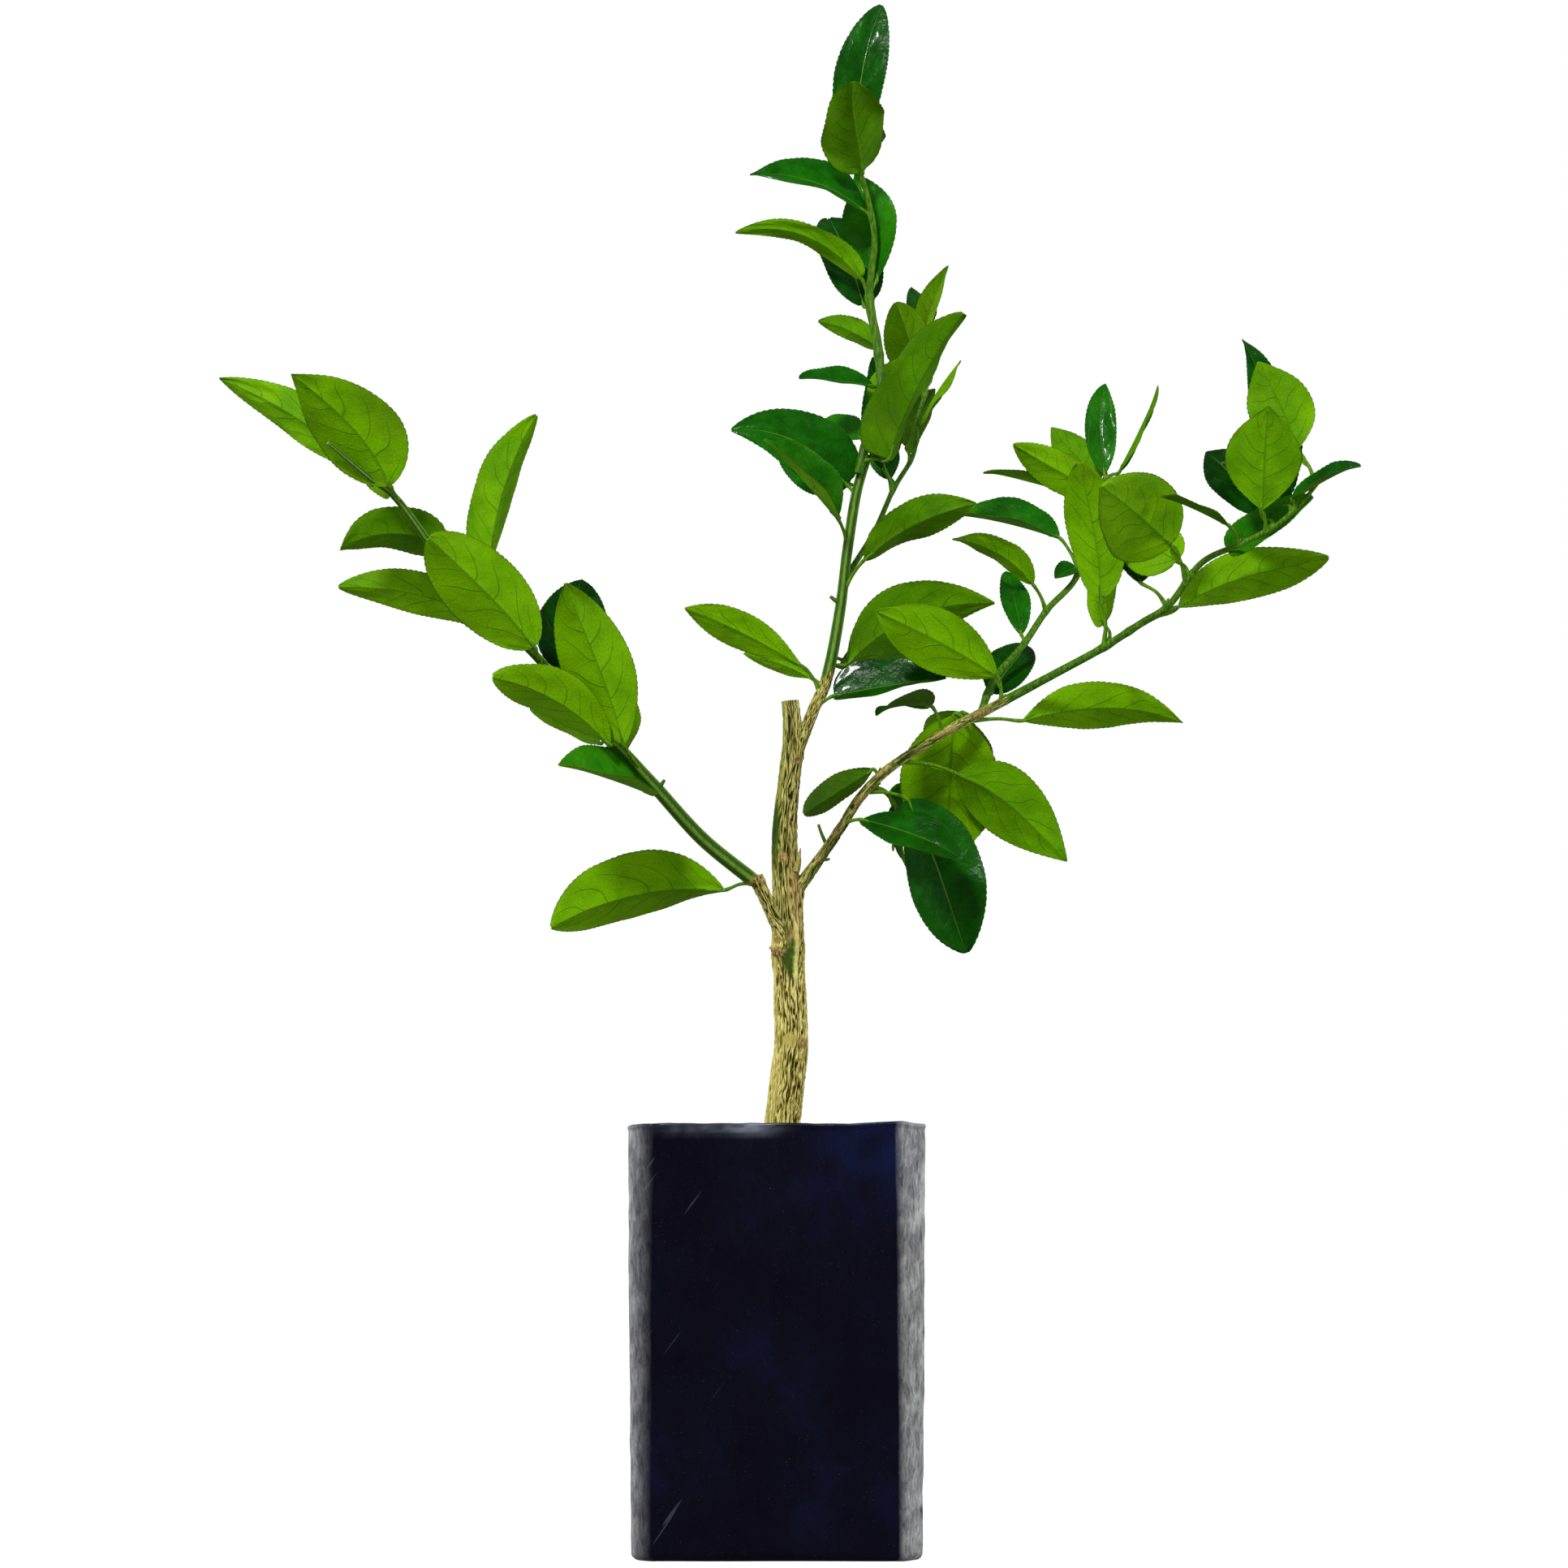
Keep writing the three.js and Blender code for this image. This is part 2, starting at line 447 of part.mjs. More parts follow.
// A bud in the angle between a stalk and its stem
function budSolid(leaf, stem) {
  const lean = direction(leaf.stalk[1], leaf.stalk[2]).add(stem.along(leaf.at)).normalize();
  const geometry = new THREE.ConeGeometry(BUD.radius, BUD.length, 4);
  geometry.translate(0, BUD.length / 2, 0);
  geometry.applyQuaternion(new THREE.Quaternion().setFromUnitVectors(new THREE.Vector3(0, 1, 0), lean));
  const root = stem.place(leaf.at).addScaledVector(lean, stem.radius(leaf.at) * 0.7);
  geometry.translate(root.x, root.y, root.z);
  return solidOf(geometry);
}

// The second leaf that the seeded rule sets behind a leaf, shorter and leaning further back
function leafBehind(leaf, roll) {
  const [length, heading, lean] = leaf.blade;
  return {
    ...leaf,
    at: leaf.at + 0.12,
    stalk: [Math.max(leaf.stalk[0], 13), leaf.stalk[1], 60],
    blade: [length * (0.72 + 0.16 * roll()), heading + 20 * (roll() - 0.5), lean + leaf.behind],
    face: leaf.face + 60 * (roll() - 0.5),
    sweep: 16 * (roll() - 0.5),
    behind: 0,
  };
}

// Planter bag: a tapering box with round corners, open at the top
function roundedSquare(width, corner) {
  const half = width / 2;
  const inner = half - corner;
  const outline = new THREE.Shape();
  outline.moveTo(half, -inner);
  outline.absarc(inner, inner, corner, 0, Math.PI / 2, false);
  outline.absarc(-inner, inner, corner, Math.PI / 2, Math.PI, false);
  outline.absarc(-inner, -inner, corner, Math.PI, 1.5 * Math.PI, false);
  outline.absarc(inner, -inner, corner, 1.5 * Math.PI, 2 * Math.PI, false);
  return outline;
}

function bagBlock(inset, bottom, top) {
  const corner = BAG.corner - inset;
  const geometry = new THREE.ExtrudeGeometry(roundedSquare(BAG.rim - 2 * inset, corner), {
    depth: top - bottom, bevelEnabled: false, curveSegments: 4,
  });
  geometry.translate(0, 0, bottom);
  const position = geometry.attributes.position;
  for (let i = 0; i < position.count; i += 1) {
    const share = THREE.MathUtils.lerp(BAG.foot / BAG.rim, 1, position.getZ(i) / BAG.height);
    position.setX(i, position.getX(i) * share);
    position.setY(i, position.getY(i) * share);
  }
  return solidOf(geometry);
}

// Assembly
const model = new THREE.Group();

function place(name, solid, finish) {
  const mesh = new THREE.Mesh(geometryOf(solid), finish);
  mesh.name = name;
  model.add(mesh);
}

place("planter_bag", bagBlock(0, 0, BAG.height)
  .subtract(bagBlock(BAG.wall, BAG.floor, BAG.height + 1)), BAG_BLACK);
place("potting_mix", bagBlock(BAG.wall + GAP, BAG.floor + GAP, SOIL_TOP), POTTING_MIX);

// Limbs grown by the gap, which later pieces are cut to and leaves keep clear of
const grownLimbs = new Map();

for (const { name, route, from, to, facets, fits = [] } of LIMBS) {
  const points = ROUTES[route];
  let solid = limbSolid(points, from, to, facets);
  for (const neighbour of fits) {
    solid = solid.subtract(grownLimbs.get(neighbour));
  }
  grownLimbs.set(name, limbSolid(points, from, to, facets, GAP));
  place(name, biggestPiece(solid), BARK_TAN);
}

// Where a mass carries on from the limb or mass before it, its stem starts a gap further on
function stemOf({ route, from, to }, grow = 0) {
  const path = routeOf(ROUTES[route]);
  const start = from > 0 ? from + GAP / path.place(from).distanceTo(path.place(from + 1)) : from;
  return limbSolid(ROUTES[route], start, to, STEM_FACETS, grow);
}

for (const mass of MASSES) {
  if (mass.to > mass.from) grownLimbs.set(mass.name, stemOf(mass, GAP));
}

const grownLeaves = [];

function touches(solid, obstacles) {
  return obstacles.some((obstacle) => solid.intersect(obstacle).volume() > 0);
}

for (const mass of MASSES) {
  const path = routeOf(ROUTES[mass.route]);
  const roll = dice(mass.seed);
  const limbs = [...grownLimbs].filter(([name]) => name !== mass.name && !mass.fits.includes(name))
    .map(([, solid]) => solid);
  const leaves = mass.leaves.map((row) => ({ ...LEAF, ...row }));
  const second = leaves.filter((leaf) => leaf.behind > 0).map((leaf) => leafBehind(leaf, roll));
  const pieces = grownLimbs.has(mass.name) ? [stemOf(mass)] : [];
  const own = [];
  for (const leaf of [...leaves, ...second]) {
    const whole = leafSolid(leaf, path);
    const blade = bladeSolid(leaf, bladeBase(leaf, path));
    if (touches(whole, [...limbs, ...grownLeaves]) || touches(blade, own)) continue;
    pieces.push(whole);
    own.push(leafSolid(leaf, path, GAP));
    if (roll() < BUD.chance) pieces.push(budSolid(leaf, path));
  }
  let solid = wasm.Manifold.union(pieces);
  for (const neighbour of mass.fits) {
    solid = solid.subtract(grownLimbs.get(neighbour));
  }
  grownLeaves.push(...own);
  place(mass.name, biggestPiece(solid), LEAF_GREEN);
}

export default model;
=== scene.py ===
# Young grafted citrus tree in a black film planter bag: bark, shoots, leaves, film and potting mix
import math
import random

import bpy
import numpy as np
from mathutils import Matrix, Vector, noise


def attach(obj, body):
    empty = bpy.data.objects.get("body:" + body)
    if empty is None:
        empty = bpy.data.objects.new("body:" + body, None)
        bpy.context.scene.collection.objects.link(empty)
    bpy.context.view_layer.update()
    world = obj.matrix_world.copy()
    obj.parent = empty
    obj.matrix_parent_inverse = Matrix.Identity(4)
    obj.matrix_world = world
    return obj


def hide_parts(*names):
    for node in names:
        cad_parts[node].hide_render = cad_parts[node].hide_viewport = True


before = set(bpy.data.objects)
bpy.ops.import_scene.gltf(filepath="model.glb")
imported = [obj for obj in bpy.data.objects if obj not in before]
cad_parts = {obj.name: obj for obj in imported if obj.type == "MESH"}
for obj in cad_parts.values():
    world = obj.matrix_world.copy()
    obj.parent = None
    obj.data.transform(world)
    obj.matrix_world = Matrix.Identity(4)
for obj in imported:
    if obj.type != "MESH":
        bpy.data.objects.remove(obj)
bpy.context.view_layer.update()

MM = 0.001

# Sizes in millimetres
BAG = {"rim": 160.0, "foot": 156.0, "height": 230.0, "film": 0.6}
SOIL_TOP = 214.0

# Blades: veins, teeth and half thickness, and where their rows and columns of points lie
VEIN_PAIRS = 6.0
VEIN_LEAN = 1.7
VEIN_BEND = 1.4
TOOTH = 0.6
TOOTH_ROWS = (1.0, 0.45, 0.15)
BLADE_HALF = 0.22
SOFT_FOLD = 1.4
COMMON_LENGTH = 90
ROW_SPACING, EXTRA_ROWS = 1.1, 8
BLADE_START, BLADE_END = 0.006, 0.992
COLUMNS = (0.0, 0.03, 0.07, 0.13, 0.22, 0.33, 0.45, 0.57, 0.69, 0.8, 0.9, 0.96, 1.0)

# Shoots: their ribs, and stalks, buds and stem tips as places along them with radii or shares of the radius
RIBS = 5
STALK_PLACES = (0, 0.25, 0.7, 1.4, 1.9, 2.1, 3.0)
STALK_RADII = (1.7, 1.45, 1.0, 0.9, 1.15, 1.0, 0.45)
BUD_CHANCE = 0.4
BUD_PLACES = (0.0, 0.8, 1.7, 2.6, 3.4, 4.0)
BUD_RADII = (0.7, 1.0, 1.05, 0.85, 0.5, 0.12)
TIP_PLACES = (0.8, 1.8, 2.8)
TIP_SHARES = (0.95, 0.7, 0.25)

# Where finishes change, in metres: bark above the graft, and the scratches at the left of the bag's front
GRAFT_BLEND = (0.325, 0.345)
SCRATCH_LEFT, SCRATCH_FRONT = (-0.02, -0.05), (-0.074, -0.076)
SCRATCH_SLANT = -0.62

# Limb routes: x, y, z and the limb's radius
ROUTES = {
    "trunk": [
        (1.9, 0, 214.3, 12.4), (1.9, 0, 219, 11.3), (2.9, 0, 230, 10.1), (5.4, 0, 252.5, 9.6),
        (7.7, 0, 273, 9.4), (7.4, 0, 293, 9.1), (6.8, 0, 312, 8.9), (6, 0, 323, 9.7), (6, 0, 334, 9.2),
        (5.4, 0, 346, 8.3), (4.8, 0, 362, 7.6), (4.2, 0, 382.6, 7), (4.9, 0, 403, 6.4), (7.2, 1, 424.4, 6.2),
        (8.3, 1, 440, 5.5), (8.3, 2, 453, 5.1), (7.2, 2, 465, 4.7),
    ],
    "left_spur": [
        (5.6, -3, 329.7, 4.9), (-3.8, -6, 349.3, 3.9), (-11.9, -9, 366.6, 4.2),
    ],
    "left": [
        (-13, -9, 364.6, 4), (-41.1, -22, 387, 3.8), (-66.1, -42, 414, 3.5), (-87.7, -56, 437.2, 3.1),
        (-113.9, -72, 462.5, 2.7), (-129.2, -84, 482.1, 2.4), (-169.6, -105, 520.8, 2.1),
        (-199.9, -122, 560.8, 1.9), (-214.6, -130, 572.2, 1.6), (-235.6, -140, 589.4, 1),
    ],
    "leader": [
        (11.2, 1.8, 437.3, 3.8), (20.2, 4, 460, 3.4), (28, 5, 479, 3.3), (35, 8, 515.7, 3),
        (39, 9, 548.4, 2.9),
        (44.2, 9, 581.4, 2.8), (50.5, 8, 603.4, 2.7),
    ],
    "top": [
        (45, 4, 592.3, 2.3), (49.4, 6, 608.5, 2.6), (58, 10, 629.3, 2.6), (56.5, 14, 664, 2.6),
        (51.7, 14, 693.4, 2.3), (54.6, 10, 723.4, 1.9), (51, 5, 746.2, 1.6), (44.7, 0, 766.3, 1.3),
    ],
    "side": [
        (37.9, 10.2, 534, 1.7), (54.5, 30, 562.3, 1.5), (66, 50, 589.3, 1.4), (78, 66, 611.9, 1.3),
        (81.1, 76, 635.5, 1.2), (86.2, 82, 654.3, 1.1), (82, 86, 678, 1),
    ],
    "right": [
        (10.3, 0.6, 358.8, 4), (23.4, -4, 376.7, 3.1), (34, -8, 391.9, 2.8), (45.2, -10, 409.5, 2.7),
        (59, -12, 424, 2.7), (75.8, -12, 436, 2.6), (92.7, -10, 446.4, 2.6), (114.3, -8, 458.1, 2.7),
        (127.9, -6, 465.3, 2.5),
    ],
    "outer": [
        (127.9, -6, 465.3, 2.5), (154.7, -18, 479, 2.2), (178.5, -30, 491.3, 2.1), (199.2, -42, 504, 2),
        (213.5, -52, 513, 1.9), (229.5, -66, 534, 1.7), (247.9, -78, 542.5, 1.5), (266, -86, 550.9, 1.4),
        (279.5, -93, 562.1, 1.2), (289.4, -97, 574.2, 1),
    ],
    "inner": [
        (113.1, -4, 458.2, 2.1), (121.1, 8, 477.8, 2), (138, 24, 498, 1.9), (152.9, 44, 520.1, 1.8),
        (170.2, 62, 539.7, 1.7), (175.9, 74, 562.8, 1.6), (185.5, 84, 582.6, 1.5), (189.6, 90, 602.5, 1.2),
    ],
}

# A leaf's tone is partly its own shade of green and partly painted light and shade, set darker for leaves
# that lie in shade and brighter for lit ones
LEAF = {
    "broad": 0.48, "face": 180, "fold": 18, "curl": 12, "sweep": 0, "twist": 0, "widest": 0.44,
    "taper": 0.75, "behind": 0, "tone": 0.85, "quilt": 0.5, "wavy": 1.0, "roll": 0.6, "wing": 0.0,
}


def leaf(at, stalk, blade, **shape):
    """A leaf's place on its stem, its stalk and blade (length, heading, lean) and what sets it apart."""
    return {**LEAF, "at": at, "stalk": stalk, "blade": blade, **shape}


# Foliage masses: route, stretch of stem, seed and leaves
MASSES = {
    "left_lowest_leaf": ("left_spur", 1.6, 1.6, 11, [
        leaf(1.8, (19.4, 192, -10), (101, 192, -12), broad=0.5, face=144, fold=31, curl=17, sweep=22,
             twist=19, widest=0.49, taper=0.84, tone=1),
    ]),
    "left_inner_foliage": ("left", 1.8, 5, 171, [
        leaf(1.91, (4.6, 200, -30), (68, 164, -42), broad=0.62, face=65, fold=34, curl=19, sweep=-12,
             twist=5, taper=0.77, tone=0.9),
        leaf(2.96, (12, 193, -74), (78, 151, -24), broad=0.44, face=147, fold=21, curl=16, sweep=27,
             twist=15, widest=0.5, taper=0.78, behind=60, tone=1),
        leaf(2.32, (25.6, 125, -50), (96, 110, -16), broad=0.43, face=185, fold=20, curl=17, sweep=9,
             twist=9, widest=0.48, taper=0.92, behind=60, tone=0.95),
        leaf(4.2, (12, 67, 45), (70, 84, 35), broad=0.59, face=-2, fold=16, twist=2, widest=0.39,
             taper=0.88, tone=0.05),
        leaf(4.87, (15.4, 113, -60), (88, 135, -28), broad=0.49, face=179, fold=16, curl=14, sweep=8,
             twist=12, widest=0.46, taper=0.63, tone=1),
    ]),
    "left_outer_foliage": ("left", 5, 9, 413, [
        leaf(5.28, (7.3, 185, 40), (104, 161, 18), broad=0.26, face=155, fold=22, curl=13, sweep=34,
             twist=11, widest=0.54, taper=0.72, tone=1),
        leaf(5.75, (18.6, 73, 20), (94, 75, 15), broad=0.36, face=224, fold=34, curl=11, sweep=-16,
             twist=-11, widest=0.39, taper=0.66),
        leaf(6.11, (15.2, 104, 20), (61, 185, -28), broad=0.5, face=139, fold=24, curl=30, sweep=40,
             twist=-13, widest=0.37, taper=0.65, tone=0.6),
        leaf(7, (13, 116, -55), (80, 132, -20), broad=0.58, face=161, fold=9, curl=14, sweep=25, twist=18,
             widest=0.37, taper=1.08, behind=60, quilt=0.9),
        leaf(7.64, (8.3, 168, 49), (110, 144, 18), broad=0.25, face=158, fold=27, curl=10, sweep=24,
             twist=15, widest=0.5, taper=0.85, tone=0.95),
    ]),
    "leader_foliage": ("leader", 0.9, 6, 658, [
        leaf(1, (13.6, 35, 0), (64, 9, -6), broad=0.62, face=-51, fold=28, curl=11, sweep=5, twist=-5,
             widest=0.36, taper=0.66, tone=0.2),
        leaf(1.5, (17.8, 122, -10), (75, 154, -8), broad=0.32, face=155, fold=15, curl=16, sweep=6, twist=9,
             widest=0.55, taper=0.99, behind=45, tone=1),
        leaf(2.15, (10, 12, 20), (96, 24, 15), broad=0.43, face=210, fold=16, curl=19, sweep=-40,
             taper=1.06, behind=45, tone=0.65),
        leaf(3.3, (22.1, 56, -14), (71, 26, -10), broad=0.41, face=213, fold=27, curl=11, sweep=-27,
             twist=-40, widest=0.45, taper=0.85, tone=0.65),
        leaf(4.12, (16.8, 112, -20), (68, 134, -35), broad=0.56, face=50, fold=52, sweep=-12, twist=-2,
             widest=0.42, taper=0.69, tone=0.8),
        leaf(4.95, (8.5, 128, -2), (74, 156, -18), broad=0.55, face=15, fold=14, curl=17, sweep=49,
             twist=17, widest=0.32, taper=0.8, behind=60, tone=0.6),
    ]),
    "upper_foliage": ("top", 0, 3.4, 15, [
        leaf(0.43, (15.4, 0, -20), (93, 63, -10), face=222, fold=40, sweep=-8, twist=-8, widest=0.27,
             taper=0.62, tone=0.55, wavy=2.5),
        leaf(0.94, (6.8, 108, 30), (41, 146, 50), face=20, fold=17, curl=10, twist=-9, widest=0.4,
             taper=0.83, tone=0.8),
        leaf(1.8, (7, 104, 40), (47, 60, 35), broad=0.52, face=200),
        leaf(2.3, (6.5, 145, -27), (48, 177, -30), broad=0.49, face=56, fold=24, curl=9, sweep=-7, twist=10,
             widest=0.4, taper=0.71, tone=0.5),
        leaf(2.9, (6, 84, 30), (49, 150, 38), broad=0.35, face=145, fold=27, sweep=13, twist=18,
             widest=0.46, taper=0.69, tone=0.65),
    ]),
    "top_foliage": ("top", 3.4, 7, 213, [
        leaf(3.74, (8, 138, 50), (87, 107, 42), broad=0.43, face=15, fold=20, curl=22, widest=0.43,
             taper=0.63, tone=0.25),
        leaf(3.99, (10.7, 67, 0), (66, 101, 10), broad=0.52, face=-12, fold=21, sweep=26, twist=11,
             widest=0.48, taper=1.24, tone=0.7),
        leaf(3.93, (13.6, 112, -20), (76, 162, -10), broad=0.23, face=144, fold=24, curl=11, sweep=66,
             twist=36, widest=0.29, taper=0.71, tone=0.9, wavy=2),
        leaf(5.58, (5.6, 141, -10), (70, 165, -18), broad=0.54, face=48, fold=23, curl=16, sweep=28,
             twist=4, widest=0.37, taper=1.07, tone=0.5),
        leaf(6.58, (3.8, 84, -30), (63, 99, -48), broad=0.65, face=196, fold=11, curl=28, sweep=-4,
             twist=-7, widest=0.37, taper=0.84, tone=0.6, wavy=3),
        leaf(6.93, (8.8, 98, 5), (87, 80, 5), broad=0.36, face=-11, curl=13, sweep=-19, twist=18,
             widest=0.46, taper=0.71, behind=50, tone=0.4),
    ]),
    "side_foliage": ("side", 0, 6, 225, [
        leaf(1.94, (13.9, 109, 0), (66, 95, 4), broad=0.39, face=20, fold=14, sweep=1, twist=10,
             widest=0.42, taper=0.79, behind=50, tone=0.4),
        leaf(2.79, (11, 104, 35), (62, 66, 45), broad=0.42, face=215, fold=28, sweep=-3, twist=4,
             widest=0.42, tone=0.3),
        leaf(3.81, (3, 295, -10), (48, 56, -30), broad=0.27, face=93, fold=27, curl=5, sweep=-21, twist=19,
             widest=0.5, taper=0.73),
        leaf(4.6, (8.3, 130, -10), (51, 105, -20), broad=0.56, face=187, fold=14, sweep=21, twist=-3,
             widest=0.47, taper=0.7, behind=70, tone=1),
        leaf(5.75, (7.8, 87, 10), (54, 72, 20), broad=0.33, face=218, fold=31, curl=15, sweep=-6, twist=2,
             widest=0.37, taper=0.88, tone=1),
        leaf(5.95, (14.8, 109, 51), (58, 86, 52), broad=0.39, face=29, fold=22, sweep=7, twist=2,
             widest=0.46, taper=0.82, tone=0.4),
    ]),
    "right_middle_foliage": ("right", 2, 8, 376, [
        leaf(2.25, (12, 9, -30), (64, 338, -28), broad=0.5, face=-44, fold=13, sweep=-6, twist=6,
             taper=0.67, tone=0.4),
        leaf(3.27, (23.9, 350, 12), (92, 291, 2), broad=0.56, face=-18, fold=25, curl=16, sweep=-5,
             twist=49, taper=0.72, behind=68, tone=0.45),
        leaf(3.52, (20, 321, 30), (48, 282, 40), broad=0.37, face=80, fold=20, sweep=-5, taper=0.66,
             tone=0.4),
        leaf(3.83, (6, 132, -25), (54, 213, -28), broad=0.35, face=152, fold=24, sweep=-7, twist=-4,
             widest=0.51, taper=0.69, tone=0.2),
        leaf(4.5, (33.8, 349, 15), (80, 322, 10), broad=0.5, face=189, fold=16, curl=13, sweep=-25,
             twist=-18, widest=0.4, taper=1, tone=0.8, wing=3),
        leaf(5.91, (17, 111, -20), (45, 191, -44), broad=0.51, face=100, fold=27, curl=27, sweep=2,
             twist=-23, widest=0.33, taper=0.73, tone=0.05),
        leaf(6.54, (11.2, 142, 48), (84, 266, 16), broad=0.68, face=187, fold=6, curl=6, twist=-13,
             widest=0.48, taper=0.8, behind=40, tone=1),
        leaf(6.53, (31.6, 1, 10), (94, 1, 12), broad=0.33, face=210, fold=21, curl=13, sweep=-29, twist=10,
             widest=0.47, taper=1.07, tone=1),
        leaf(7.69, (15.1, 99, -20), (79, 153, -15), broad=0.46, face=168, fold=12, sweep=7, twist=12,
             widest=0.49, taper=0.85, tone=1, wing=3),
    ]),
    "right_outer_foliage": ("outer", 0, 6, 147, [
        leaf(2.03, (27.4, 94, -15), (76, 99, -8), broad=0.44, face=157, fold=8, sweep=6, twist=7,
             widest=0.46, taper=0.61, behind=50, tone=1, wing=5),
        leaf(2.65, (30.3, 26, -10), (88, 18, 5), broad=0.37, face=195, fold=28, curl=13, sweep=-20,
             twist=-41, widest=0.47, tone=1, wing=4),
        leaf(3.92, (26.8, 131, 41), (51, 103, 20), broad=0.47, face=17, fold=15, widest=0.41, taper=0.8,
             tone=0.4),
        leaf(4.53, (23.8, 115, -30), (66, 147, -42), broad=0.76, face=179, fold=7, curl=27, sweep=11,
             twist=13, widest=0.35, taper=0.93, behind=53, tone=1, quilt=1.2, wing=5),
    ]),
    "right_tip_foliage": ("outer", 6, 9, 20, [
        leaf(6.06, (15.3, 128, -40), (46, 161, -30), broad=0.33, face=82, fold=34, curl=13, sweep=-4,
             twist=1, widest=0.47, taper=0.85, tone=0.4),
        leaf(6.12, (20.1, 198, 72), (55, 33, -12), broad=0.45, face=-27, fold=35, curl=10, sweep=13,
             twist=-5, widest=0.33, taper=0.62),
        leaf(6.79, (12.8, 106, -30), (57, 87, -12), broad=0.76, face=187, fold=12, sweep=1, twist=-1,
             widest=0.48, taper=1.15, quilt=1.2, wing=3.5),
        leaf(7, (24.4, 100, 70), (59, 125, 30), broad=0.6, face=14, fold=16, curl=11, sweep=7, twist=1,
             widest=0.46, taper=1.08, tone=0.05),
        leaf(7.69, (26.6, 110, 72), (113, 98, 26), broad=0.29, face=24, fold=24, curl=14, sweep=7, twist=5,
             widest=0.4, taper=0.93, tone=0.3),
        leaf(7.8, (7.1, 106, -35), (43, 26, -30), broad=0.44, face=-65, fold=35, curl=10, twist=-3,
             widest=0.42, taper=0.66, tone=0.4),
        leaf(8.87, (23.6, 115, 23), (54, 112, 8), broad=0.67, face=181, fold=7, curl=10, sweep=18, twist=15,
             widest=0.48, taper=1, wing=4),
    ]),
    "right_inner_foliage": ("inner", 0, 4.2, 21, [
        leaf(0.49, (7.3, 30, 62), (63, 55, 50), broad=0.42, face=-12, curl=11, twist=-10, widest=0.39,
             taper=0.76, tone=0.2),
        leaf(2.05, (6, 107, 20), (54, 99, 40), broad=0.33, face=10, curl=15, twist=11, widest=0.46,
             taper=0.84, tone=0.55),
        leaf(2.95, (17.9, 118, -20), (58, 153, -25), broad=0.36, face=135, fold=31, curl=15, sweep=31,
             twist=-11, widest=0.4, taper=0.86, tone=1),
        leaf(4.09, (5, 100, -30), (21, 209, -45), broad=0.67, face=31, fold=26, curl=13, sweep=1, twist=6,
             widest=0.43, taper=0.76, tone=0.4),
    ]),
    "right_upper_foliage": ("inner", 4.2, 7, 22, [
        leaf(4.24, (21.9, 120, 10), (69, 163, 25), broad=0.55, face=58, fold=35, curl=7, sweep=4, twist=-12,
             widest=0.45, taper=0.95, tone=0.65),
        leaf(5.6, (25, 127, 20), (54, 163, 22), broad=0.32, face=93, fold=25, curl=6, sweep=-4, twist=-8,
             widest=0.4, tone=0.6),
        leaf(6.13, (6, 109, -23), (59, 151, -15), broad=0.42, face=174, fold=21, curl=11, twist=-14,
             widest=0.43, taper=0.83, tone=1),
        leaf(6.54, (8, 130, 40), (55, 122, 38), broad=0.51, face=177, fold=16, sweep=10, taper=0.86,
             tone=0.7),
        leaf(6.72, (6.3, 86, 10), (58, 88, 15), broad=0.35, face=6, curl=13, sweep=-27, twist=11,
             widest=0.47, taper=0.82, tone=0.65),
        leaf(6.9, (9, 22, -20), (56, 65, -20), broad=0.21, face=89, fold=26, curl=10, sweep=-4, twist=3,
             widest=0.49, taper=0.62, tone=0.7),
    ]),
}


# Node sheets: nodes are laid out by kind, with their settings and what feeds them
class Sheet:
    """Lays out the nodes of one tree."""

    def __init__(self, tree):
        self.tree = tree

    def node(self, kind, feeds=None, **settings):
        made = self.tree.nodes.new(kind)
        for name, value in settings.items():
            setattr(made, name, value)
        for key, value in (feeds or {}).items():
            self.feed(made.inputs[key], value)
        return made

    def out(self, kind, feeds=None, pick=0, **settings):
        """What a new node gives, by the output's number or name."""
        return self.node(kind, feeds, **settings).outputs[pick]

    def feed(self, socket, value):
        if isinstance(value, bpy.types.NodeSocket):
            self.tree.links.new(value, socket)
        else:
            socket.default_value = value

    def sum(self, operation, a, b=0.0, c=0.0):
        return self.out("ShaderNodeMath", {0: a, 1: b, 2: c}, operation=operation)

    def times(self, a, b):
        return self.sum("MULTIPLY", a, b)

    def scaled(self, value, by, plus):
        return self.sum("MULTIPLY_ADD", value, by, plus)

    def between(self, value, low, high):
        """0 below low, 1 above high, smooth between."""
        return self.out("ShaderNodeMapRange", {"Value": value, "From Min": low, "From Max": high}, "Result",
                        interpolation_type="SMOOTHSTEP", clamp=True)

    def part(self, vector, axis):
        return self.out("ShaderNodeSeparateXYZ", {0: vector}, axis)


def paint(red, green, blue):
    """A colour given in display values from 0 to 255, as linear light."""
    shares = [value / 255 for value in (red, green, blue)]
    linear = [s / 12.92 if s <= 0.04045 else ((s + 0.055) / 1.055) ** 2.4 for s in shares]
    return (*linear, 1.0)


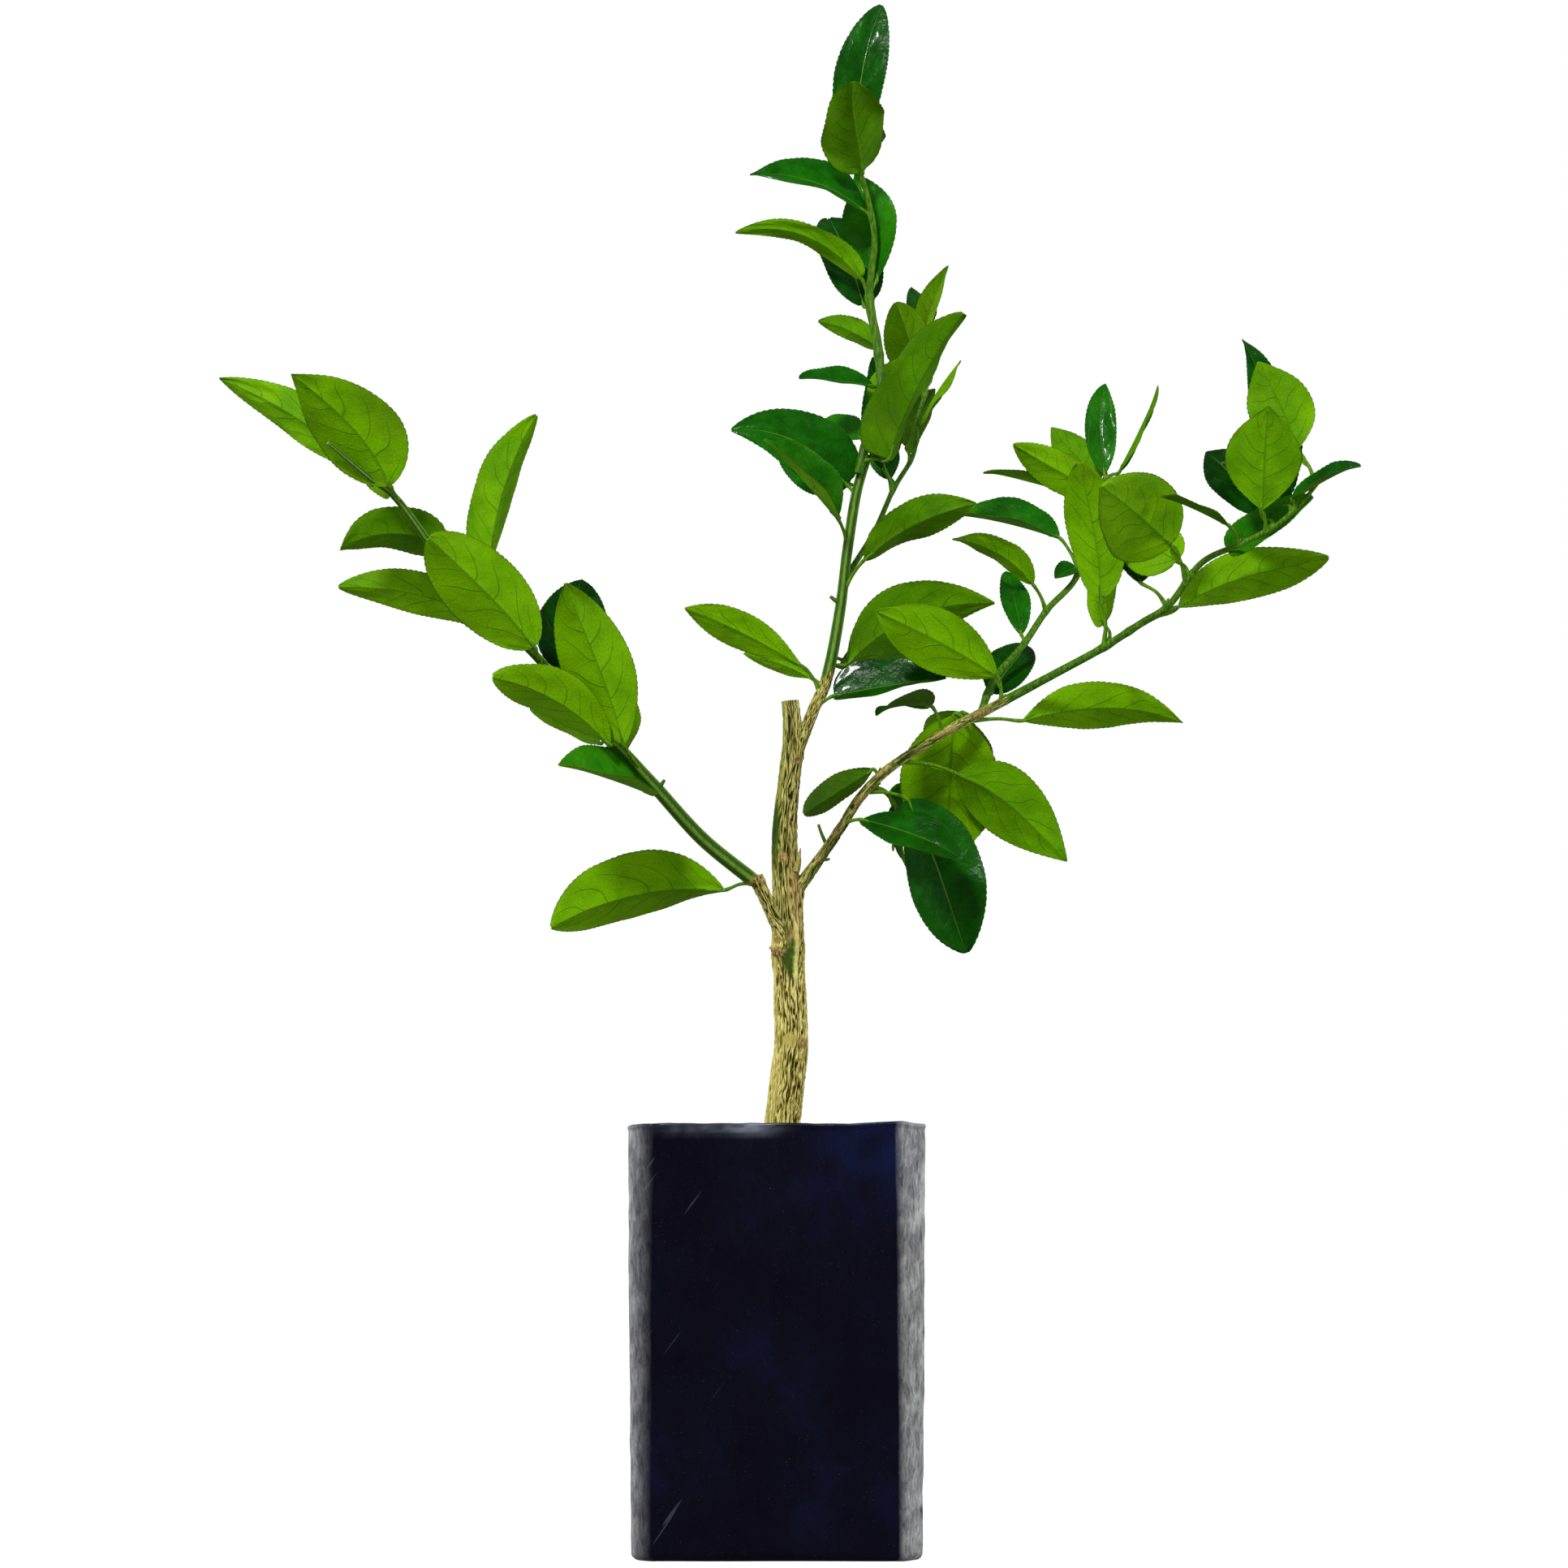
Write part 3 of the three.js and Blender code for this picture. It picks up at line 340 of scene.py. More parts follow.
class Finish(Sheet):
    """One surface finish, built on the plain shader."""

    def __init__(self, name, **constants):
        self.material = bpy.data.materials.new(name)
        self.material.use_nodes = True
        super().__init__(self.material.node_tree)
        self.shader = self.tree.nodes["Principled BSDF"]
        for key, value in constants.items():
            self.shader.inputs[key.replace("_", " ")].default_value = value

    def place(self):
        return self.out("ShaderNodeTexCoord", pick="Object")

    def mapped(self, vector=None, **change):
        """The piece's own coordinates, or a vector, with a Scale or a Rotation."""
        return self.out("ShaderNodeMapping", {"Vector": vector or self.place(), **change}, "Vector")

    def grain(self, scale, detail=3.0, roughness=0.55, where=None, warp=0.0):
        return self.out("ShaderNodeTexNoise", {
            "Vector": where or self.place(), "Scale": scale, "Detail": detail, "Roughness": roughness,
            "Distortion": warp}, "Fac")

    def stored(self, name):
        return self.out("ShaderNodeAttribute", pick="Fac", attribute_name=name)

    def ramp(self, value, *stops):
        made = self.node("ShaderNodeValToRGB", {"Fac": value})
        line = made.color_ramp.elements
        while len(line) < len(stops):
            line.new(0.5)
        for spot, (position, colour) in zip(line, stops):
            spot.position = position
            spot.color = paint(*colour)
        return made.outputs["Color"]

    def blend(self, share, first, second):
        return self.out("ShaderNodeMix", {0: share, 6: first, 7: second}, 2, data_type="RGBA")

    def layers(self, base, *coats):
        """The base with colours laid over it in turn, each by a share times the most that it may cover."""
        for share, most, colour in coats:
            base = self.blend(self.times(share, most), base, paint(*colour))
        return base

    def raised(self, height, depth, strength, under=None):
        feeds = {"Height": height, "Distance": depth, "Strength": strength}
        if under:
            feeds["Normal"] = under
        return self.out("ShaderNodeBump", feeds, "Normal")

    def wear(self, colour, roughness=None, normal=None):
        for key, value in (("Base Color", colour), ("Roughness", roughness), ("Normal", normal)):
            if value is not None:
                self.feed(self.shader.inputs[key], value)
        return self.material


# Leaf finishes: veins follow the blade's own map, across in u and along in v
def leaf_veins(finish):
    """Closeness to the midrib, to the side veins and to the margin, each from 0 to 1."""
    chart = finish.out("ShaderNodeUVMap", pick="UV", uv_map="Blade")
    run = finish.part(chart, "Y")
    across = finish.scaled(finish.part(chart, "X"), 2.0, -1.0)
    out = finish.sum("ABSOLUTE", across)
    right = finish.sum("GREATER_THAN", across, 0.0)
    back = finish.times(finish.sum("POWER", out, VEIN_BEND), -VEIN_LEAN)
    turn = finish.scaled(right, 0.5, finish.scaled(run, VEIN_PAIRS, back))
    gap = finish.sum("ABSOLUTE", finish.sum("SUBTRACT", finish.sum("FRACT", turn), 0.5))
    fade = finish.times(finish.between(out, 0.9, 0.5), finish.between(out, 0.0, 0.04))
    side = finish.times(finish.between(gap, 0.455, 0.49), fade)
    width = finish.scaled(run, -0.022, 0.05)
    rib = finish.sum("SUBTRACT", 1.0, finish.between(finish.sum("DIVIDE", out, width), 0.35, 1.0))
    return rib, side, finish.between(out, 0.955, 0.995)


def upper_leaf_finish():
    finish = Finish("glossy upper leaf", Specular_IOR_Level=0.12, Coat_Weight=0.16, Coat_Roughness=0.05)
    rib, side, edge = leaf_veins(finish)
    cloud = finish.scaled(finish.grain(60.0, 4.0, 0.6), 1.0, -0.5)
    # Green by the leaf's tone, which is partly painted light and shade, with a random cloud
    green = finish.ramp(finish.sum("ADD", finish.stored("tone"), cloud),
                        (0.0, (5, 42, 2)), (0.35, (12, 74, 2)), (0.65, (22, 102, 2)), (1.0, (50, 130, 4)))
    colour = finish.layers(green, (side, 0.2, (40, 100, 10)), (rib, 0.65, (84, 136, 30)),
                           (edge, 0.5, (58, 84, 24)))
    pores = finish.times(finish.grain(900.0, 2.0), 0.12)
    relief = finish.scaled(finish.sum("ADD", side, rib), -0.5, pores)
    relief = finish.scaled(finish.grain(150.0, 3.0, 0.6), 2.2, relief)
    gloss = finish.scaled(finish.grain(120.0), 0.3, 0.16)
    return finish.wear(colour, gloss, finish.raised(relief, 0.0006, 0.8))


def under_leaf_finish():
    finish = Finish("matt leaf underside", Specular_IOR_Level=0.04)
    rib, side, edge = leaf_veins(finish)
    cloud = finish.scaled(finish.grain(44.0, 5.0, 0.6), 0.9, -0.46)
    # Green by the leaf's tone, which is partly painted light and shade, with a random cloud
    green = finish.ramp(finish.sum("ADD", finish.stored("tone"), cloud),
                        (0.0, (50, 78, 22)), (0.25, (56, 94, 8)), (0.5, (68, 118, 1)), (0.8, (90, 147, 0)),
                        (1.0, (110, 168, 0)))
    olive = finish.between(finish.grain(26.0, 3.0), 0.56, 0.72)
    net = finish.out("ShaderNodeTexVoronoi", {"Vector": finish.place(), "Scale": 520.0}, "Distance",
                     feature="DISTANCE_TO_EDGE")
    fine_veins = finish.sum("SUBTRACT", 1.0, finish.between(net, 0.02, 0.14))
    colour = finish.layers(green, (olive, 0.35, (98, 122, 16)), (fine_veins, 0.16, (46, 90, 4)),
                           (side, 0.5, (44, 92, 2)), (rib, 0.55, (58, 112, 4)), (edge, 0.7, (52, 66, 14)))
    relief = finish.scaled(side, 0.8, finish.times(fine_veins, 0.25))
    relief = finish.scaled(finish.grain(170.0, 3.0, 0.6), 1.6, relief)
    rough = finish.scaled(finish.grain(200.0), 0.2, 0.4)
    return finish.wear(colour, rough, finish.raised(relief, 0.0004, 0.6))


def shoot_finish():
    finish = Finish("green shoot", Specular_IOR_Level=0.2)
    streak = finish.grain(900.0, where=finish.mapped(Scale=(1.0, 1.0, 0.22)))
    green = finish.ramp(streak, (0.3, (26, 66, 2)), (0.5, (52, 100, 8)), (0.72, (96, 140, 36)))
    fresh = finish.ramp(streak, (0.3, (60, 110, 2)), (0.7, (112, 164, 14)))
    colour = finish.blend(finish.stored("fresh"), green, fresh)
    return finish.wear(colour, 0.45, finish.raised(streak, 0.0003, 0.6))


def bark_finish():
    """Ridges pale at their tops and darker down their flanks, and dark grooves, partly the bark's own colour
    and partly painted highlight and shade; the grooves turn green above the graft; skin, scars and cut wood.
    """
    finish = Finish("ridged bark", Specular_IOR_Level=0.15)
    fibre = finish.grain(1500.0, 4.0, 0.65, where=finish.mapped(Scale=(1.0, 1.0, 0.13)))
    patch = finish.grain(110.0)
    height = finish.stored("height")
    # The stored height paints the ridge tops pale and their flanks darker: partly the bark's colour, partly
    # painted highlight and shade
    shade = finish.scaled(patch, 0.3, finish.scaled(fibre, 0.5, finish.times(height, 0.6)))
    above = finish.between(finish.part(finish.place(), "Z"), *GRAFT_BLEND)
    ridge = finish.ramp(shade, (0.4, (72, 64, 20)), (0.57, (132, 121, 50)), (0.73, (184, 171, 86)),
                        (0.9, (234, 222, 140)))
    ridge = finish.layers(ridge, (above, 0.28, (72, 88, 22)))
    groove = finish.ramp(patch, (0.42, (60, 52, 16)), (0.58, (46, 62, 16)))
    groove = finish.blend(above, groove, paint(30, 46, 10))
    colour = finish.blend(finish.between(finish.stored("fissure"), 0.1, 0.9), ridge, groove)
    skin = finish.ramp(finish.scaled(fibre, 0.5, finish.times(height, 0.5)),
                       (0.25, (24, 56, 6)), (0.5, (56, 102, 14)), (0.75, (124, 158, 60)))
    colour = finish.blend(finish.stored("green"), colour, skin)
    scar = finish.ramp(fibre, (0.28, (88, 52, 26)), (0.48, (156, 110, 68)), (0.68, (214, 176, 128)))
    colour = finish.blend(finish.times(finish.stored("scar"), 0.85), colour, scar)
    wood = finish.ramp(finish.grain(700.0), (0.3, (120, 112, 62)), (0.7, (186, 178, 128)))
    colour = finish.blend(finish.stored("cut"), colour, wood)
    rough = finish.scaled(finish.stored("green"), -0.35, 0.85)
    return finish.wear(colour, rough, finish.raised(fibre, 0.0005, 0.7))


def film_finish():
    """Blue-black film, scratched at the left of the front, with a painted highlight under the rim, a painted
    blue sheen at the upper right of the front and pale grey painted reflections on the corner strips.
    """
    finish = Finish("black film", Specular_IOR_Level=0.35)
    haze = finish.grain(18.0, 4.0, 0.6)
    scuff = finish.grain(420.0, 4.0, 0.7, where=finish.mapped(Scale=(1.0, 1.0, 0.3)), warp=0.6)
    specks = finish.between(finish.grain(1500.0, 1.0), 0.74, 0.78)
    slant = finish.mapped(finish.mapped(Rotation=(0.0, SCRATCH_SLANT, 0.0)), Scale=(1.0, 0.2, 0.05))
    scratch = finish.between(finish.grain(420.0, 1.0, where=slant), 0.7, 0.76)
    left = finish.between(finish.part(finish.place(), "X"), *SCRATCH_LEFT)
    front = finish.between(finish.part(finish.place(), "Y"), *SCRATCH_FRONT)
    # Pale grey painted reflection on the corner strips, in patches
    painted_reflection = finish.times(finish.stored("fold"), finish.between(scuff, 0.1, 0.75))
    black = finish.ramp(haze, (0.35, (6, 3, 18)), (0.55, (7, 6, 26)), (0.75, (9, 16, 46)))
    # Over the black: the painted blue sheen, the painted highlight under the rim, specks, scuffs, scratches,
    # and the pale painted reflections on the corners
    colour = finish.layers(
        black, (finish.stored("blue"), 1.0, (12, 24, 66)), (finish.stored("painted_highlight"), 0.9, (150, 160, 180)),
        (specks, 0.25, (110, 114, 124)), (finish.between(scuff, 0.64, 0.8), 0.08, (100, 104, 118)),
        (finish.times(scratch, finish.times(left, front)), 0.3, (96, 102, 116)), (painted_reflection, 1.0, (214, 215, 216)))
    gloss = finish.scaled(scuff, 0.2, 0.16)
    dents = finish.raised(finish.grain(30.0, 2.0, where=finish.mapped(Scale=(1.0, 1.0, 0.6))), 0.003, 0.25)
    return finish.wear(colour, gloss, finish.raised(scuff, 0.0003, 0.2, dents))


def mix_finish():
    finish = Finish("damp potting mix", Specular_IOR_Level=0.2)
    lump = finish.grain(260.0, 5.0, 0.7)
    colour = finish.ramp(lump, (0.3, (24, 16, 11)), (0.5, (52, 38, 27)), (0.66, (86, 64, 44)),
                         (0.8, (122, 98, 70)))
    return finish.wear(colour, 0.92, finish.raised(lump, 0.002, 0.8))


UPPER_LEAF, UNDER_LEAF, SHOOT = upper_leaf_finish(), under_leaf_finish(), shoot_finish()
BARK, FILM, MIX = bark_finish(), film_finish(), mix_finish()


# Forms that many pieces use
def hill(away, width):
    """1 in the middle, falling smoothly to about a third at one width away."""
    return math.exp(-((away / width) ** 2))


def held(value):
    """A value held from 0 to 1."""
    return min(max(value, 0.0), 1.0)


def smooth_noise(x, y, z):
    return noise.noise(Vector((x, y, z)))


def rings_joined(rows, sides):
    """The quads between neighbouring rings of points."""
    for i in range(rows - 1):
        for n in range(sides):
            m = (n + 1) % sides
            yield i * sides + n, i * sides + m, (i + 1) * sides + m, (i + 1) * sides + n


# Meshes
def into_scene(name, data):
    made = bpy.data.objects.new(name, data)
    bpy.context.scene.collection.objects.link(made)
    return made


def store(mesh, named_values):
    """Keeps a number for each point under each name."""
    for key, values in named_values.items():
        layer = mesh.attributes.new(key, "FLOAT", "POINT")
        layer.data.foreach_set("value", np.asarray(values, dtype=np.float32))


def piece_from(name, spots, faces, finishes, face_finish=None, stored=None, charts=None):
    """A piece from points in millimetres and its faces, with values stored on its points and its maps."""
    mesh = bpy.data.meshes.new(name)
    mesh.from_pydata((np.asarray(spots) * MM).tolist(), [], [list(map(int, face)) for face in faces])
    for finish in finishes:
        mesh.materials.append(finish)
    if face_finish is not None:
        mesh.polygons.foreach_set("material_index", np.asarray(face_finish, dtype=np.int32))
    store(mesh, stored or {})
    for key, values in (charts or {}).items():
        mesh.uv_layers.new(name=key).data.foreach_set("uv", np.asarray(values, dtype=np.float32).ravel())
    mesh.polygons.foreach_set("use_smooth", np.ones(len(mesh.polygons), dtype=bool))
    mesh.update()
    return into_scene(name, mesh)


def stands_for(made, slot, *nodes):
    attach(made, "root")
    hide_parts(*nodes)


# Pieces grown by nodes
def node_group(name, wanted):
    """A node group's sheet, what its inputs give, and the identifier of each input."""
    tree = bpy.data.node_groups.new(name, "GeometryNodeTree")
    tree.interface.new_socket("Result", in_out="OUTPUT", socket_type="NodeSocketGeometry")
    keys = {key: tree.interface.new_socket(key, in_out="INPUT", socket_type="NodeSocket" + kind).identifier
            for key, kind in wanted.items()}
    sheet = Sheet(tree)
    return sheet, sheet.node("NodeGroupInput").outputs, keys


def group_result(sheet, geometry, surface):
    """Ends a node group with its geometry made real and given a surface."""
    solid = sheet.out("GeometryNodeRealizeInstances", {"Geometry": geometry})
    solid = sheet.out("GeometryNodeSetMaterial", {"Geometry": solid, "Material": surface})
    sheet.node("NodeGroupOutput", {"Result": solid})
    return sheet.tree


def grown_by_nodes(name, source, tree, keys, values):
    """Runs a node group on an object and keeps its result as a plain piece."""
    modifier = source.modifiers.new("growth", "NODES")
    modifier.node_group = tree
    for key, value in values.items():
        modifier[keys[key]] = value
    bpy.context.view_layer.update()
    result = source.evaluated_get(bpy.context.evaluated_depsgraph_get())
    mesh = bpy.data.meshes.new_from_object(result)
    source.modifiers.remove(modifier)
    mesh.name = name
    return into_scene(name, mesh)


# Directions and routes
FRONT = np.array([0.0, -1.0, 0.0])


def unit(vector):
    return vector / np.linalg.norm(vector)


def direction(heading, lean):
    """A direction by its heading in the plane of the photograph and its lean away from it."""
    turn, back = math.radians(heading), math.radians(lean)
    return np.array([math.cos(back) * math.cos(turn), math.sin(back), math.cos(back) * math.sin(turn)])


def frame_round(along):
    """Two directions across a line: the one nearest to the viewer, and the one beside it."""
    towards = unit(FRONT - along * FRONT.dot(along))
    return towards, np.cross(along, towards)


class Route:
    """A smooth curve through points of x, y, z and radius."""

    def __init__(self, points):
        inner = np.array(points, dtype=float)
        self.points = np.vstack([2 * inner[0] - inner[1], inner, 2 * inner[-1] - inner[-2]])
        self.spans = len(inner) - 1

    def spot(self, at):
        span = min(max(int(math.floor(at)), 0), self.spans - 1)
        s = at - span
        a, b, c, d = self.points[span:span + 4]
        out, back = (c - a) / 2, (d - b) / 2
        return b + out * s + (3 * (c - b) - 2 * out - back) * s * s + (2 * (b - c) + out + back) * s ** 3

    def place(self, at):
        return self.spot(at)[:3]

    def radius(self, at):
        return self.spot(at)[3]

    def along(self, at):
        low, high = max(at - 0.01, 0.0), min(at + 0.01, self.spans)
        return unit(self.place(high) - self.place(low))

    def stations(self, start, end, spacing):
        """Values of at from start to end that lie about one spacing apart on the curve, and their runs."""
        fine = np.linspace(start, end, max(2, int((end - start) * 60)))
        spots = np.array([self.place(at) for at in fine])
        run = np.concatenate([[0.0], np.cumsum(np.linalg.norm(np.diff(spots, axis=0), axis=1))])
        marks = np.linspace(0.0, run[-1], max(2, int(run[-1] / spacing) + 1))
        return np.interp(marks, run, fine), marks


PATHS = {name: Route(points) for name, points in ROUTES.items()}


# Camera at the photograph's viewing angle
CAMERA_PLACE = (0.0038, -2.4105, 0.2711)
CAMERA_AIM = (0.0038, 0.0, 0.4185)


def facing(place, aim):
    return (Vector(aim) - Vector(place)).to_track_quat("-Z", "Y").to_euler()


camera_data = bpy.data.cameras.new("camera")
camera_data.lens = 100.0
camera_data.sensor_width = 36.0
camera = into_scene("camera", camera_data)
camera.location = CAMERA_PLACE
camera.rotation_euler = facing(CAMERA_PLACE, CAMERA_AIM)
bpy.context.scene.camera = camera

# Pale floor and soft studio light
bpy.ops.mesh.primitive_plane_add(size=12.0, location=(0.0, 0.0, 0.0))
floor = bpy.context.object
floor.name = "pale_floor"
floor_finish = Finish("pale floor", Roughness=0.9, Specular_IOR_Level=0.1, Emission_Strength=0.66)
floor.data.materials.append(floor_finish.wear(
    floor_finish.ramp(floor_finish.grain(3.0), (0.0, (240, 240, 240)), (1.0, (248, 248, 248)))))
floor.visible_glossy = False
floor.visible_diffuse = False

world = bpy.data.worlds.new("studio")
world.use_nodes = True
bpy.context.scene.world = world
sky = Sheet(world.node_tree)
ray = sky.node("ShaderNodeLightPath").outputs
seen, lit, mirrored = [
    sky.out("ShaderNodeBackground", {"Color": (*colour, 1.0), "Strength": strength})
    for colour, strength in (((1.0, 1.0, 1.0), 1.0), ((1.0, 1.0, 0.97), 0.4), ((0.9, 0.95, 1.0), 0.07))
]
unseen = sky.out("ShaderNodeMixShader", {0: ray["Is Glossy Ray"], 1: lit, 2: mirrored})
both = sky.out("ShaderNodeMixShader", {0: ray["Is Camera Ray"], 1: unseen, 2: seen})
sky.feed(sky.tree.nodes["World Output"].inputs["Surface"], both)


def soft_light(name, place, size, power, aim=(0.0, 0.0, 0.42), mirrored=True):
    data = bpy.data.lights.new(name, "AREA")
    data.shape = "RECTANGLE"
    data.size, data.size_y = size
    data.energy = power
    made = into_scene(name, data)
    made.location = place
    made.rotation_euler = facing(place, aim)
    made.visible_glossy = mirrored


soft_light("key", (-0.9, -2.3, 2.5), (0.45, 0.45), 80.0)
soft_light("fill", (2.2, -1.6, 1.3), (1.2, 1.2), 8.0)
soft_light("top", (0.3, 0.9, 2.4), (1.4, 1.4), 20.0, mirrored=False)
soft_light("left_strip", (-1.9, 0.25, 0.5), (1.5, 1.6), 16.0, (0.0, 0.0, 0.2), mirrored=False)
soft_light("right_strip", (1.9, 0.25, 0.5), (1.5, 1.6), 20.0, (0.0, 0.0, 0.2), mirrored=False)
bpy.context.scene.view_settings.view_transform = "Standard"


# Planter bag: one film shell whose corners are strips between two folds, wider at the rim than at the foot
# Corners: how flat they are, how wide at the rim and at the foot, and how strongly a pale grey reflection is
# painted on each
CORNERS = (
    {"flat": 0.35, "rim": 13.0, "foot": 11.0, "painted_reflection": 0.3},
    {"flat": 0.3, "rim": 13.0, "foot": 11.0, "painted_reflection": 0.35},
    {"flat": 0.3, "rim": 14.0, "foot": 11.0, "painted_reflection": 1.25},
    {"flat": 0.96, "rim": 13.0, "foot": 8.8, "painted_reflection": 0.62},
)
FLAT_STEPS, CORNER_STEPS = 34, 14
CREASE_X, DENT_X = 18.5, -20
TUCK_HEIGHT, ROLL_BELOW, DENT_SHARE = 3.0, 1.2, 0.93
RIM_RISE, RIM_SLANT = 3.3, 0.5
FLOOR_INSIDE = 1.0
FOOT_ROWS = (0.0, 0.5, 1.4, 2.8, 5.0)
RIM_ROWS = (3.6, 2.6, 1.8, 1.1, 0.5, 0.0)


def at_share(sizes, share):
    """A size that grows evenly from the foot to the rim."""
    return sizes["foot"] + (sizes["rim"] - sizes["foot"]) * share


def bag_plan(share, half):
    """Points round the bag at a share of its height: x, y as parts of its half width, and 1 in a corner."""
    plan = []
    for quarter, corner in enumerate(CORNERS):
        turn = quarter * math.pi / 2
        size, start = at_share(corner, share) / half, at_share(CORNERS[quarter - 1], share) / half
        line = [(1.0, -1.0 + start + (2.0 - start - size) * s, 0.0)
                for s in np.linspace(0.0, 1.0, FLAT_STEPS, endpoint=False)]
        for s in np.linspace(0.0, 1.0, CORNER_STEPS, endpoint=False):
            even = 0.5 - 0.5 * math.cos(s * math.pi)
            angle = even * math.pi / 2
            round_x, round_y = 1 - size + size * math.cos(angle), 1 - size + size * math.sin(angle)
            flat_x, flat_y = 1 - size * even, 1 - size + size * even
            line.append((round_x + (flat_x - round_x) * corner["flat"],
                         round_y + (flat_y - round_y) * corner["flat"], 1.0))
        plan += [(x * math.cos(turn) - y * math.sin(turn), x * math.sin(turn) + y * math.cos(turn), bend)
                 for x, y, bend in line]
    return plan


def bag_painted_reflection(share):
    """How strongly a pale reflection is painted round the bag: all over the flat strip, and fading to one
    side on the others.
    """
    line = []
    for corner in CORNERS:
        line += [0.0] * FLAT_STEPS
        for n in range(CORNER_STEPS):
            spread = 0.8 + 0.35 * n / CORNER_STEPS if corner["flat"] > 0.9 else (1 - n / CORNER_STEPS) ** 2.0
            patchy = 0.95 + 0.45 * smooth_noise(n / 4, share * 22, corner["painted_reflection"])
            line.append(min(1.0, corner["painted_reflection"] * spread * patchy))
    return line


def bag_sheen(x, y, z):
    """A painted highlight where light catches the dent under the rim, and a painted blue sheen at the upper
    right of the front, each from 0 to 1.
    """
    if y > -0.9:
        return 0.0, 0.0
    below = BAG["height"] - z
    bright = hill(x + 14, 12) + 0.3 * hill(x + 42, 22)
    bright *= hill(below - 2.2, 2.4) * (0.75 + 0.7 * smooth_noise(x / 4, 1.0, z / 2))
    blue = held((x - 8) / 40) * hill(below, 34) * (0.8 + smooth_noise(x / 14, 5.0, z / 12))
    return held(0.8 * bright), held(0.7 * blue)


def film_push(x, y, z, half, bend):
    """How far the film stands out: waves, belly, front crease, foot tuck, rolled rim, wrinkles and dent."""
    share = z / BAG["height"]
    wave = 1.3 * smooth_noise(x * 1.5, y * 1.5, z / 60) + 0.4 * smooth_noise(x * 5, y * 5, z / 22)
    belly = 0.8 * math.sin(math.pi * share)
    push = (min(wave + belly, 1.3) - 1.0) * (1 - 0.7 * bend)
    if y < -0.98:
        line = CREASE_X + 1.2 * smooth_noise(z / 40, 2.0, 0.0)
        push -= 0.55 * hill(x * half - line, 0.9) * min(1.0, share * 1.6)
    push -= 2.4 * max(0.0, 1 - z / TUCK_HEIGHT) ** 2
    push += 0.7 * hill(BAG["height"] - ROLL_BELOW - z, 1.0)
    push += bend * 0.65 * smooth_noise(x * 7, y * 7, z / 14 + x * 3)
    dent = 1.6 * hill(x * half - DENT_X, 16) * max(0.0, share - DENT_SHARE) / (1 - DENT_SHARE)
    return push - dent * max(0.0, -y)


def planter_bag():
    height = BAG["height"]
    rise = [*FOOT_ROWS, *np.linspace(8.0, height - 5.0, 80), *(height - below for below in RIM_ROWS)]
    spots, shine = [], []
    for inset, floor_height in ((0.0, 0.0), (BAG["film"], FLOOR_INSIDE)):
        for z in rise:
            share = z / height
            half = at_share(BAG, share) / 2 - inset
            for x, y, bend in bag_plan(share, half):
                reach = half + film_push(x, y, z, half, bend)
                lip = 0.9 * smooth_noise(x * 2.4, y * 2.4, 3.0) + 0.4 * smooth_noise(x * 9, y * 9, 1.0)
                lip += (RIM_RISE + RIM_SLANT * x) * max(0.0, -y) ** 2
                level = z + (lip - 0.9) * share ** 14
                spots.append((x * reach, y * reach, max(level, floor_height)))
                shine.append(bag_sheen(x * half, y, z))
    around, shift = len(CORNERS) * (FLAT_STEPS + CORNER_STEPS), len(spots) // 2
    faces = []
    for quad in rings_joined(len(rise), around):
        faces += [quad, [shift + n for n in reversed(quad)]]
    top, foot, lining = shift - around, len(spots), len(spots) + 1
    for n in range(around):
        m = (n + 1) % around
        faces.append((top + n, top + m, shift + top + m, shift + top + n))
        faces += [(m, n, foot), (shift + n, shift + m, lining)]
    spots += [(0.0, 0.0, 0.0), (0.0, 0.0, FLOOR_INSIDE)]
    # The painted highlight and blue sheen at each point
    painted_highlight, blue = zip(*shine, (0.0, 0.0), (0.0, 0.0))
    # How strongly the pale reflection is painted at each point, outside and in the lining
    fold = [painted_reflection for z in rise for painted_reflection in bag_painted_reflection(z / height)] * 2 + [0.0, 0.0]
    stored = {"fold": fold, "painted_highlight": painted_highlight, "blue": blue}
    made = piece_from("planter_bag_film", spots, faces, [FILM], stored=stored)
    stands_for(made, "bag_film", "planter_bag")


planter_bag()


# Potting mix: a block with a lumpy top inside the film, and loose crumbs scattered on it by nodes
MIX_HALF = 75.5
MIX_CELLS = 60
MIX_SINK = 2.4
MIX_FOOT, MIX_TAPER = 2.2, 0.955


